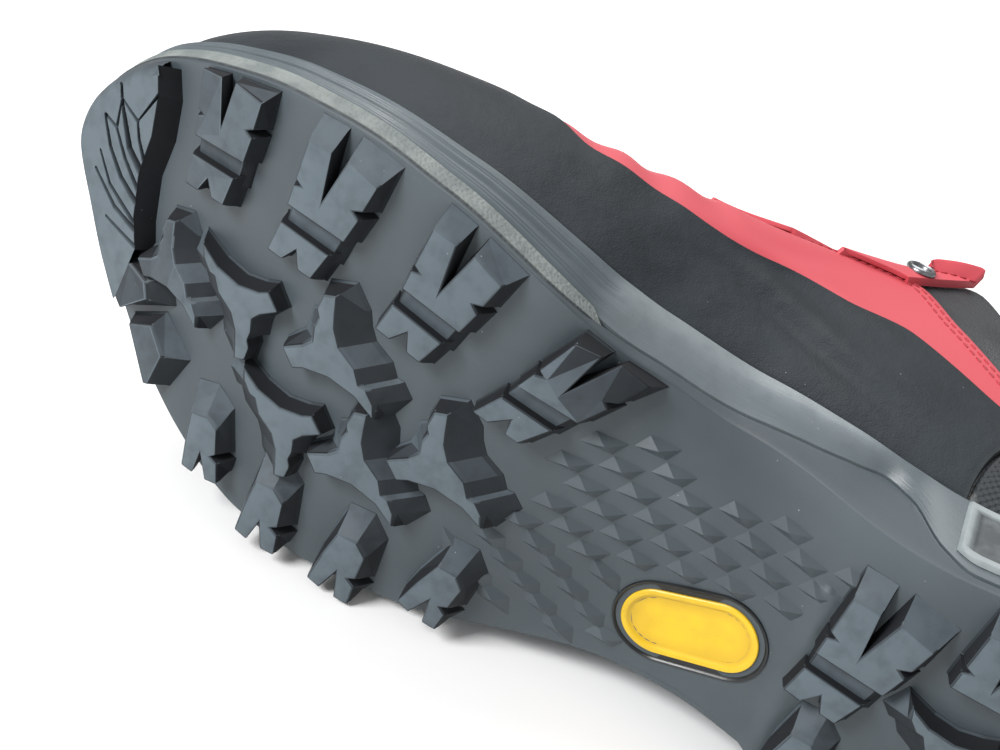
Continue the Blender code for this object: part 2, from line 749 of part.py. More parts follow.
def midsole():
    """Foam block with a rebate for the stripe and two ribs along its side."""
    block = Solid()
    inset = RIM_WALL + CLEARANCE
    floor_plan = around(-inset, 0)
    floor_height = web_height(floor_plan[:, 0], floor_plan[:, 1]) + WEB_THICKNESS + CLEARANCE
    ribs = RIB_PROUD * STRIPE.read("ribs", STATION)
    rings = [
        around(-inset, floor_height),
        around(-inset, RIM_TOP + CLEARANCE),
        around(-STRIPE_DEPTH, RIM_TOP + CLEARANCE),
        around(-STRIPE_DEPTH, WALL_FOOT),
        wall_point(0, 0),
    ]
    for foot, head in RIBS:
        rings.append(wall_point(foot, 0))
        rings.append(wall_point(foot + RIB_FLANK, ribs))
        rings.append(wall_point(head - RIB_FLANK, ribs))
        rings.append(wall_point(head, 0))
    rings.append(wall_point(1, 0))
    rows = [block.add(ring) for ring in rings]
    block.bars(rows[0], lambda x, y: web_height(x, y) + WEB_THICKNESS + CLEARANCE)
    for lower, upper in zip(rows, rows[1:]):
        block.wall(lower, upper)
    block.bars(rows[-1], bed_height, LEVEL_BARS)
    return block.build("midsole", "foam")


def side_stripe():
    """Light strip in the rebate, from the medial waist round the toe to the lateral waist."""
    run = [i for i in range(RING) if STATION[i] > STRIPE_FROM]
    recess = CLEARANCE
    depth = STRIPE_DEPTH - CLEARANCE
    low = RIM_TOP + CLEARANCE
    high = WALL_FOOT - CLEARANCE
    strip = Solid()
    rows = [
        strip.add(around(-outset, height)[run])
        for outset, height in ((recess, low), (recess, high), (depth, high), (depth, low))
    ]
    for lower, upper in zip(rows, rows[1:] + rows[:1]):
        strip.wall(lower, upper, closed=False)
    for end in (0, -1):
        strip.lid([row[end] for row in rows])
    return strip.build("side_stripe", "stripe")


def heel_panel(name, columns):
    """Framed plate on one side of the heel, with its middle set back."""
    middle = (len(columns) - 1) / 2
    plate = Solid()
    inner = []
    outer = []
    for share, set_back in PANEL_ROWS:
        inner.append(plate.add(wall_point(share, CLEARANCE)[columns]))
        points = wall_point(share, PANEL_THICKNESS)[columns]
        if set_back:
            sunk = wall_point(share, PANEL_THICKNESS / 2)[columns]
            inside = [k for k in range(len(columns)) if abs(k - middle) < middle]
            points[inside] = sunk[inside]
        outer.append(plate.add(points))
    for grid in (inner, outer):
        for lower, upper in zip(grid, grid[1:]):
            plate.wall(lower, upper, closed=False)
    close_edges(plate, inner, outer)
    return plate.build(name, "stripe")


def close_edges(solid, inner, outer):
    """Joins the borders of two open grids."""
    def border(grid):
        ends = [row[-1] for row in grid[1:-1]]
        starts = [row[0] for row in grid[1:-1]]
        return grid[0] + ends + grid[-1][::-1] + starts[::-1]

    solid.wall(border(inner), border(outer))


def upper_grid():
    """Outer face of the upper: rows from the sole to the top edge, each a ring of points."""
    foot = around(FLARE_OUT - FEATHER_INSET, BED + CLEARANCE)
    side = np.where(MEDIAL, 1, -1)
    across = by_side(TOPLINE, "medial", "lateral", TURN)
    head = np.column_stack(
        [
            SOLE_LENGTH * TOPLINE.read("station", TURN),
            side * across * HALF_WIDTH,
            LUG_HEIGHT + SOLE_STACK + COLLAR_HEIGHT * TOPLINE.read("height", TURN),
        ]
    )
    tall = (head - foot)[:, 2]
    flat = np.array([1, 1, 0])
    up = np.array([0, 0, 1])
    form = {name: WALL_FORM.read(name, TURN)[:, None] for name in ("rise", "reach", "drop")}
    bulge = by_side(WALL_FORM, "medial_bulge", "lateral_bulge", TURN)[:, None] * BULGE
    out = np.column_stack([OUTWARD, np.zeros(RING)])
    low = foot + out * bulge + up * form["rise"] * tall[:, None]
    high = head + (foot - head) * flat * form["reach"] - up * form["drop"] * tall[:, None]
    rand = by_side(BANDS, "medial_rand", "lateral_rand", TURN)
    stay = BANDS.read("stay", TURN)
    shares = [rand * k / RAND_ROWS for k in range(RAND_ROWS)]
    shares += [rand + (stay - rand) * k / VAMP_ROWS for k in range(VAMP_ROWS)]
    shares += [stay + (1 - stay) * k / STAY_ROWS for k in range(STAY_ROWS + 1)]
    rows = []
    for share in shares:
        s = share[:, None]
        t = 1 - s
        rows.append(t**3 * foot + 3 * s * t**2 * low + 3 * s**2 * t * high + s**3 * head)
    return np.array(rows)


def grid_normals(grid):
    """Outward normal at every point of the upper's grid, level along the midsole."""
    along = np.roll(grid, -1, axis=1) - np.roll(grid, 1, axis=1)
    upward = np.gradient(grid, axis=0)
    normals = np.cross(upward, along)
    normals[0, :, 2] = 0
    return unit(normals)


UPPER = upper_grid()
UPPER_NORMAL = grid_normals(UPPER)
STAY_ROW = RAND_ROWS + VAMP_ROWS
TOP_ROW = STAY_ROW + STAY_ROWS


def upper_row(row, offset):
    """A ring of the upper moved along its normals."""
    return UPPER[row] + UPPER_NORMAL[row] * offset


def trimmed(points, gap):
    """A row of points with both ends drawn in."""
    points = np.array(points)
    points[0] += unit(points[1] - points[0]) * gap
    points[-1] += unit(points[-2] - points[-1]) * gap
    return points


def band(name, colour, rows, columns, inner, outer, tail=0.0):
    """A layer over part of the upper, cut from the upper's own grid."""
    solid = Solid()
    grids = []
    for offset in (inner, outer):
        lines = [upper_row(row, offset)[columns] for row in rows]
        if tail:
            lean = unit(lines[-1] - lines[-2]) + UPPER_NORMAL[rows[-1]][columns] * TAB_LEAN
            lines.append(lines[-1] + unit(lean) * tail)
        grids.append([solid.add(trimmed(line, BAND_GAP / 2)) for line in lines])
    for grid in grids:
        for lower, upper in zip(grid, grid[1:]):
            solid.wall(lower, upper, closed=False)
    close_edges(solid, *grids)
    return solid.build(name, colour)


def upper():
    """Hollow upper, open at the collar, along the throat and underneath."""
    solid = Solid()
    outer = [solid.add(upper_row(row, 0)) for row in range(TOP_ROW + 1)]
    inner = [solid.add(upper_row(row, -UPPER_WALL)) for row in range(TOP_ROW + 1)]
    for grid in (outer, inner):
        for lower, higher in zip(grid, grid[1:]):
            solid.wall(lower, higher)
    solid.wall(outer[0], inner[0])
    solid.wall(outer[-1], inner[-1])
    return solid.build("upper", "suede")


def rands():
    """Rubber rand round the front and textile band round the heel, meeting at a seam on each side."""
    rows = list(range(RAND_ROWS + 1))
    front = list(range(SEAM_COLUMN, RING - SEAM_COLUMN + 1))
    back = list(range(RING - SEAM_COLUMN, RING)) + list(range(SEAM_COLUMN + 1))
    band("rand", "rand", rows, front, BAND_GAP, BAND_GAP + RAND_THICKNESS)
    band("heel_band", "textile", rows, back, BAND_GAP, BAND_GAP + HEEL_BAND_THICKNESS)


def lace_tabs():
    """Suede tabs that stand up along both edges of the throat."""
    rows = list(range(STAY_ROW, TOP_ROW + 1))
    for number, level in enumerate(TAB_LEVELS, 1):
        for side, middle in (("medial", level), ("lateral", RING - level)):
            columns = [middle - 1, middle, middle + 1]
            name = f"lace_tab_{side}_{number}"
            band(name, "suede", rows, columns, BAND_GAP, BAND_GAP + TAB_THICKNESS, TAB_TAIL)


def eyelets():
    """Metal rings on the top tabs."""
    lift = BAND_GAP + TAB_THICKNESS + CLEARANCE + EYELET_THICKNESS / 2
    for side, column in (("medial", TAB_LEVELS[0]), ("lateral", RING - TAB_LEVELS[0])):
        place = upper_row(STAY_ROW + 1, lift)[column]
        normal = Vector(UPPER_NORMAL[STAY_ROW + 1][column])
        bpy.ops.mesh.primitive_torus_add(
            location=place,
            rotation=normal.to_track_quat("Z", "Y").to_euler(),
            major_segments=16,
            minor_segments=6,
            major_radius=(EYELET_DIAMETER - EYELET_THICKNESS) / 2,
            minor_radius=EYELET_THICKNESS / 2,
        )
        ring = bpy.context.object
        ring.name = f"eyelet_{side}"
        ring.data.materials.append(finish(ring.name, "metal"))
        ring.data.shade_smooth()
        bpy.context.collection.objects.unlink(ring)
        bpy.data.collections["approach_shoe"].objects.link(ring)


def throat_frame(level):
    """Both inner edges of the throat at a level between two ring columns, and the upward normal."""
    depth = -(UPPER_WALL + BAND_GAP)
    edge = upper_row(TOP_ROW, depth)
    medial = [np.interp(level, range(SIDE_STEPS + 1), edge[: SIDE_STEPS + 1, k]) for k in range(3)]
    lateral_edge = np.vstack([edge[:1], edge[: SIDE_STEPS - 1 : -1]])
    lateral = [np.interp(level, range(SIDE_STEPS + 1), lateral_edge[:, k]) for k in range(3)]
    mid = (edge[: SIDE_STEPS + 1] + lateral_edge) / 2
    lower = min(int(level) + 1, SIDE_STEPS)
    forward = mid[lower] - mid[lower - 2]
    return np.array(medial), np.array(lateral), unit(np.cross(forward, [0, 1, 0]))


def throat_point(level, across, lift):
    """A point over the tongue: across runs from -1 at the lateral edge to 1 at the medial one."""
    medial, lateral, up = throat_frame(level)
    base = lateral + (medial - lateral) * (across + 1) / 2
    crown = TONGUE_CROWN * min(1, (SIDE_STEPS - level) / CROWN_COLUMNS)
    return base + up * (crown * (1 - across**2) ** 2 + lift)


def tongue():
    """Knitted tongue under the throat, crowned in the middle and standing up past the top eyelets."""
    depth = UPPER_WALL + BAND_GAP
    skirt = range(STAY_ROW, TOP_ROW)
    levels = list(range(SIDE_STEPS - 1, TAB_LEVELS[0] - 1, -1))
    across = np.linspace(1, -1, BARS + 1)
    solid = Solid()
    grids = []
    for thickness in (0.0, TONGUE_THICKNESS):
        offset = -(depth + thickness)
        grid = []
        tip = solid.add([upper_row(row, offset)[SIDE_STEPS] for row in skirt])
        nose = solid.add([upper_row(TOP_ROW, offset)[SIDE_STEPS]])
        grid.append(tip + nose * len(across) + tip[::-1])
        for level in levels:
            eased = level == levels[-1]
            lower = offset - BAND_GAP * eased
            wing = [upper_row(row, lower)[level] for row in skirt]
            far = [upper_row(row, lower)[RING - level] for row in skirt][::-1]
            reach = 1 - TONGUE_EASE * eased
            span = [throat_point(level, w * reach, -thickness) for w in across]
            grid.append(solid.add(wing + span + far))
        last = np.array([solid.points[k] for k in grid[-1]])
        before = np.array([solid.points[k] for k in grid[-2]])
        run = unit((last - before).mean(axis=0))
        middle = last.mean(axis=0)
        for share, width, height in TONGUE_END:
            shift = run * TONGUE_PAST_EYELETS * share + np.array([0, 0, TONGUE_LIFT]) * share**2
            grid.append(solid.add(middle + (last - middle) * (1, width, height) + shift))
        grids.append(grid)
    for grid in grids:
        for nearer, farther in zip(grid, grid[1:]):
            solid.wall(farther, nearer, closed=False)

    def border(grid):
        left = [row[0] for row in grid]
        right = [row[-1] for row in grid[1:]]
        return left + grid[-1][1:-1] + right[::-1]

    solid.wall(border(grids[0]), border(grids[1]))
    return solid.build("tongue", "knit")


def insole():
    """Thin foot bed inside the upper."""
    inset = FEATHER_INSET + UPPER_WALL + 2 * BAND_GAP
    pad = Solid()
    low = pad.add(around(FLARE_OUT - inset, BED + CLEARANCE))
    high = pad.add(around(FLARE_OUT - inset, BED + CLEARANCE + INSOLE_THICKNESS))
    pad.bars(low, bed_height, LEVEL_BARS)
    pad.wall(low, high)
    pad.bars(high, bed_height, LEVEL_BARS)
    return pad.build("insole", "insole")


def lace_reach(level):
    """Share of the throat's half width that the middle of the lace swings out to."""
    medial, lateral, _ = throat_frame(level)
    half = np.linalg.norm(medial - lateral) / 2
    return 1 - (LACE_DIAMETER / 2 + LACE_EDGE_GAP) / half


def lace_strand(name, sign, closing):
    """One zigzag of the lace over the tongue, as a mesh tube with welded caps."""
    lift = LACE_DIAMETER / 2 + LACE_LIFT
    spans = len(TAB_LEVELS) - 1
    points = []
    for s in np.linspace(0, spans, spans * LACE_STEPS + 1):
        level = np.interp(s, range(spans + 1), TAB_LEVELS)
        points.append(throat_point(level, sign * lace_reach(level) * math.cos(math.pi * s), lift))
    if closing:
        for share in (0.6, 0.2, -0.2, -0.6, -1.0):
            level = TAB_LEVELS[-1] + 0.7 * (1 - share**2)
            points.append(throat_point(level, sign * share * lace_reach(level), lift))
    curve = bpy.data.curves.new(name, "CURVE")
    curve.dimensions = "3D"
    curve.bevel_depth = LACE_DIAMETER / 2
    curve.bevel_resolution = 1
    curve.use_fill_caps = True
    spline = curve.splines.new("POLY")
    spline.points.add(len(points) - 1)
    for point, place in zip(spline.points, points):
        point.co = (*place, 1)
    path = bpy.data.objects.new(name + "_path", curve)
    bpy.context.scene.collection.objects.link(path)
    bpy.context.view_layer.update()
    mesh = bpy.data.meshes.new_from_object(path.evaluated_get(bpy.context.evaluated_depsgraph_get()))
    bpy.data.objects.remove(path)
    shape = bmesh.new()
    shape.from_mesh(mesh)
    bmesh.ops.remove_doubles(shape, verts=shape.verts, dist=0.00001)
    face_outwards(shape)
    shape.to_mesh(mesh)
    shape.free()
    mesh.shade_smooth()
    mesh.materials.clear()
    return bpy.data.objects.new(name, mesh)


def lace():
    """The crossings of the lace, joined where they meet."""
    strand = lace_strand("lace", 1, True)
    strand.data.materials.append(finish("lace", "knit"))
    bpy.data.collections["approach_shoe"].objects.link(strand)
    other = lace_strand("lace_other_strand", -1, False)
    other.hide_render = True
    other.display_type = "WIRE"
    bpy.data.collections["cutters"].objects.link(other)
    cut(strand, other, "UNION")


def settled_shape():
    """Every vertex of the finished pieces, and their common centre of mass."""
    bpy.context.view_layer.update()
    graph = bpy.context.evaluated_depsgraph_get()
    points = []
    moment = np.zeros(3)
    mass = 0.0
    for thing in bpy.data.collections["approach_shoe"].objects:
        if thing.type != "MESH":
            continue
        mesh = thing.evaluated_get(graph).to_mesh()
        mesh.calc_loop_triangles()
        place = np.array(thing.matrix_world)
        flat = np.array([vertex.co for vertex in mesh.vertices]) @ place[:3, :3].T + place[:3, 3]
        corners = flat[np.array([face.vertices for face in mesh.loop_triangles])]
        volumes = np.einsum("ij,ij->i", corners[:, 0], np.cross(corners[:, 1], corners[:, 2])) / 6
        density = DENSITY.get(thing.name, OTHER_DENSITY)
        mass += density * volumes.sum()
        moment += density * (volumes[:, None] * corners.sum(axis=1) / 4).sum(axis=0)
        points.append(flat)
    return np.vstack(points), moment / mass


def hull_faces(points):
    """Outward normal and offset of every face of the convex hull."""
    shape = bmesh.new()
    for point in points:
        shape.verts.new(point)
    bmesh.ops.convex_hull(shape, input=shape.verts)
    loose = [vert for vert in shape.verts if not vert.link_faces]
    bmesh.ops.delete(shape, geom=loose, context="VERTS")
    bmesh.ops.recalc_face_normals(shape, faces=shape.faces)
    faces = [face for face in shape.faces if face.calc_area() > TINY]
    normals = np.array([face.normal for face in faces])
    corners = np.array([face.verts[0].co for face in faces])
    shape.free()
    return normals, np.einsum("ij,ij->i", normals, corners)


def resting_side(points, centre, down):
    """Rolls the hull over until the face under the centre of mass stays the lowest."""
    normals, offsets = hull_faces(points)
    for _ in range(len(normals)):
        facing = normals @ down
        below = facing > TINY
        reach = np.where(below, (offsets - normals @ centre) / np.where(below, facing, 1), np.inf)
        face = int(reach.argmin())
        if np.allclose(normals[face], down, atol=1e-5):
            break
        down = normals[face]
    return down


def lay_down(root):
    """Turns the shoe onto its lateral side, toe to the left and sole to the front, on z = 0."""
    points, centre = settled_shape()
    down = resting_side(points, centre, np.array([0.0, -1.0, 0.0]))
    across = unit(np.array([-1.0, 0.0, 0.0]) + down * down[0])
    turn = np.array([across, np.cross(-down, across), -down])
    laid = points @ turn.T
    low = laid.min(axis=0)
    high = laid.max(axis=0)
    shift = -np.array([(low[0] + high[0]) / 2, (low[1] + high[1]) / 2, low[2]])
    place = Matrix([(*turn[k], shift[k]) for k in range(3)] + [(0, 0, 0, 1)])
    root.matrix_world = place
    return place


def main():
    for thing in list(bpy.data.objects):
        bpy.data.objects.remove(thing)
    for name in ("approach_shoe", "cutters"):
        bpy.context.scene.collection.children.link(bpy.data.collections.new(name))
    outsole()
    midsole()
    side_stripe()
    heel_panel("heel_panel_medial", list(PANEL_COLUMNS))
    heel_panel("heel_panel_lateral", [RING - k for k in reversed(PANEL_COLUMNS)])
    insole()
    upper()
    rands()
    lace_tabs()
    eyelets()
    tongue()
    lace()
    root = bpy.data.objects.new("laid_down", None)
    bpy.context.scene.collection.objects.link(root)
    lay_down(root)
    for name in ("approach_shoe", "cutters"):
        for thing in bpy.data.collections[name].objects:
            thing.parent = root


if __name__ == "__main__":
    main()
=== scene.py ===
"""Looks of a right approach shoe that lies on its lateral side with the sole to the front.

The shoe is worked out standing: heel at x = 0, toe towards +X, medial side towards +Y and the
tread on z = 0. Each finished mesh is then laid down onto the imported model. Lengths are metres.
"""

from __future__ import annotations

import json
import logging
import math
from dataclasses import dataclass, field
from enum import Enum

import bmesh
import bpy
import numpy as np
from mathutils import Matrix, Vector

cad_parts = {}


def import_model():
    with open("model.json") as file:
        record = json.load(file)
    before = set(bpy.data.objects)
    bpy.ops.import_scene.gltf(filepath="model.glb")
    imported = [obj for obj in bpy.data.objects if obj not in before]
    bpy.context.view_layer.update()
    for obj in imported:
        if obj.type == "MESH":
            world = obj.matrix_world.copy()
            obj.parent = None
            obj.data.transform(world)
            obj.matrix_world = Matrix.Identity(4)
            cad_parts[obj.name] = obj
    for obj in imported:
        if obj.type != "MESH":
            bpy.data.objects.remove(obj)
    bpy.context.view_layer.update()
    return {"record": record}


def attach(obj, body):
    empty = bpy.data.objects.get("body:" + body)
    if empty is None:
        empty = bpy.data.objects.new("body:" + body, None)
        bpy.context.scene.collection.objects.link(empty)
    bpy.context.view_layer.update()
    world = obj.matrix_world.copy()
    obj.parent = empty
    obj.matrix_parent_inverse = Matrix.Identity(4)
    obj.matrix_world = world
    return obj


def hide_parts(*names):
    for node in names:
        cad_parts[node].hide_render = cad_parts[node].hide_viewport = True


LOG = logging.getLogger("approach_shoe")
Colour = tuple[float, float, float]
Array = np.ndarray
Thing = bpy.types.Object
Socket = bpy.types.NodeSocket
# Columns of the coarse grid on one side and all round, and fine points for each column
HALF_RING = 32
RING = 2 * HALF_RING
FINE = 8
# Columns of the medial throat edge where the tabs and the bends of the lace lie
LACE_LEVELS = (17.0, 20.0, 23.0, 26.0, 29.0)
# Plan positions of the two flat spots of the tread on the standing shoe
HEEL_SPOT = (0.0617, 0.0134)
FOREFOOT_SPOT = (0.1949, 0.0306)


class Table:
    """Rows under named columns, read between the rows along a smooth curve."""

    def __init__(self, columns: tuple[str, ...], rows: tuple) -> None:
        """Keeps the columns by name; the first one is the key.

        Args:
            columns: names of the columns.
            rows: the rows, in rising order of the key.
        """
        self.columns = dict(zip(columns, np.array(rows, float).T))
        self.key = self.columns[columns[0]]

    def read(self, column: str, at: Array) -> Array:
        """Reads a column between its rows.

        Args:
            column: name of the column.
            at: values of the key.

        Returns:
            The column's values there.
        """
        x = self.key
        y = self.columns[column]
        at = np.clip(np.asarray(at, float), x[0], x[-1])
        step = np.diff(x)
        rise = np.diff(y) / step
        slope = np.empty(len(x))
        slope[0] = rise[0]
        slope[-1] = rise[-1]
        both = rise[:-1] * rise[1:]
        mean = 2 * both / np.where(both > 0, rise[:-1] + rise[1:], 1)
        slope[1:-1] = np.where(both > 0, mean, 0)
        i = np.clip(np.searchsorted(x, at, side="right") - 1, 0, len(x) - 2)
        h = step[i]
        s = (at - x[i]) / h
        return (
            (1 + 2 * s) * (1 - s) ** 2 * y[i]
            + s * (1 - s) ** 2 * h * slope[i]
            + s * s * (3 - 2 * s) * y[i + 1]
            + s * s * (s - 1) * h * slope[i + 1]
        )


def turn_of(station: Array) -> Array:
    """Returns where a station lies on the half turn from heel, 0, to toe, 1."""
    return np.arccos(1 - 2 * np.asarray(station, float)) / math.pi


def unit(vectors: Array) -> Array:
    """Returns the vectors at length 1."""
    return vectors / np.maximum(np.linalg.norm(vectors, axis=-1, keepdims=True), 1e-12)


def smooth(value: Array, low: float, high: float) -> Array:
    """Returns a soft step from 0 at low to 1 at high."""
    share = np.clip((np.asarray(value, float) - low) / (high - low), 0, 1)
    return share * share * (3 - 2 * share)


OUTLINE_ROWS = (
    (0, 0.038, -0.038, 0.4, 0.4), (0.041, 0.419, 0.438, 0.4, 0.4), (0.096, 0.59, 0.629, 0.4, 0.4),
    (0.171, 0.638, 0.695, 0.5, 0.4), (0.257, 0.581, 0.686, 0.7, 0.5),
    (0.342, 0.543, 0.667, 1.2, 0.6), (0.428, 0.543, 0.714, 1.3, 0.6),
    (0.514, 0.638, 0.819, 1.1, 0.5), (0.599, 0.819, 0.943, 0.9, 0.4), (0.685, 0.952, 1, 0.9, 0.4),
    (0.747, 0.99, 0.981, 0.9, 0.4), (0.815, 0.952, 0.857, 0.8, 0.4),
    (0.884, 0.838, 0.629, 0.6, 0.3), (0.938, 0.686, 0.352, 0.3, 0.1), (0.976, 0.486, 0.095, 0, 0),
    (1, 0.152, -0.152, -0.2, -0.2),
)
OUTLINE = Table(
    ("turn", "medial", "lateral", "medial_flare", "lateral_flare"),
    tuple((float(turn_of(row[0])), *row[1:]) for row in OUTLINE_ROWS),
)
LAYERS = Table(
    ("station", "medial_rim", "lateral_rim", "bed"),
    (
        (0, 0.111, 0.111, 0.89), (0.171, 0.111, 0.111, 0.96), (0.247, 0.126, 0.126, 1),
        (0.274, 0.296, 0.18, 0.99), (0.301, 0.667, 0.29, 0.97), (0.322, 0.733, 0.33, 0.95),
        (0.342, 0.622, 0.33, 0.94), (0.377, 0.415, 0.31, 0.9), (0.428, 0.233, 0.27, 0.875),
        (0.473, 0.17, 0.24, 0.86), (0.514, 0.163, 0.2, 0.837), (0.565, 0.126, 0.13, 0.76),
        (0.599, 0.104, 0.104, 0.7), (0.685, 0.096, 0.096, 0.556), (0.747, 0.096, 0.096, 0.463),
        (0.815, 0.096, 0.096, 0.426), (0.884, 0.096, 0.096, 0.389), (1, 0.096, 0.096, 0.4),
    ),
)
STRIPE = Table(
    ("station", "height", "ribs"),
    (
        (0, 0.18, 0), (0.53, 0.18, 0), (0.56, 0.45, 0.3), (0.6, 0.9, 0.9), (0.685, 1, 1),
        (0.815, 1, 1), (0.93, 0.75, 0.8), (1, 0.6, 0.6),
    ),
)
TOPLINE = Table(
    ("turn", "station", "medial", "lateral", "height"),
    (
        (0, 0.017, 0, 0, 0.98), (0.1, 0.03, 0.28, 0.28, 0.98), (0.2, 0.075, 0.5, 0.5, 0.92),
        (0.3, 0.145, 0.62, 0.6, 0.86), (0.38, 0.205, 0.68, 0.6, 0.98),
        (0.45, 0.262, 0.7, 0.5, 1.32), (0.5, 0.3, 0.69, 0.38, 1.56),
        (0.56, 0.352, 0.67, 0.3, 1.42), (0.64, 0.43, 0.63, 0.23, 1.14),
        (0.72, 0.51, 0.58, 0.17, 0.95), (0.82, 0.59, 0.49, 0.12, 0.75),
        (0.92, 0.642, 0.37, 0.02, 0.62), (1, 0.662, 0.16, -0.16, 0.57),
    ),
)
WALL_FORM = Table(
    ("turn", "medial_bulge", "lateral_bulge", "rise", "reach", "drop"),
    (
        (0, 0.9, 0.9, 0.36, 0.7, 0.4), (0.15, 0.9, 0.7, 0.36, 0.6, 0.4),
        (0.3, 1.4, 0.6, 0.38, 0.5, 0.38), (0.45, 2, 0.7, 0.4, 0.5, 0.34),
        (0.6, 1.4, 0.7, 0.43, 0.42, 0.3), (0.72, 1.7, 0.7, 0.51, 0.42, 0.18),
        (0.85, 1, 0.5, 0.8, 0.5, -0.02), (1, 0.3, 0.3, 1.05, 0.48, -0.1),
    ),
)
BANDS = Table(
    ("turn", "medial_rand", "lateral_rand", "stay"),
    (
        (0, 0.5, 0.5, 0.86), (0.2, 0.58, 0.5, 0.84), (0.38, 0.64, 0.46, 0.84),
        (0.44, 0.59, 0.44, 0.83), (0.47, 0.47, 0.43, 0.825), (0.5, 0.415, 0.42, 0.82),
        (0.56, 0.35, 0.41, 0.81), (0.61, 0.335, 0.4, 0.8), (0.66, 0.39, 0.405, 0.795),
        (0.75, 0.38, 0.42, 0.78), (0.88, 0.5, 0.48, 0.78), (1, 0.56, 0.56, 0.8),
    ),
)
CREASES = Table(
    ("station", "share", "turn", "length", "width", "depth", "side"),
    (
        (0.43, 0.2, 0.15, 0.026, 0.004, 0.0012, 1), (0.455, 0.36, -0.2, 0.022, 0.0045, 0.0009, 1),
        (0.56, 0.7, 1.1, 0.018, 0.004, 0.0008, 1), (0.6, 0.62, 1.3, 0.022, 0.0045, 0.001, 1),
        (0.64, 0.52, 1.45, 0.024, 0.005, 0.0009, 1), (0.69, 0.64, 1.6, 0.02, 0.0045, 0.0008, 1),
        (0.7, 0.6, 1.75, 0.022, 0.005, 0.001, -1), (0.76, 0.8, 1.55, 0.018, 0.006, 0.0007, 1),
    ),
)


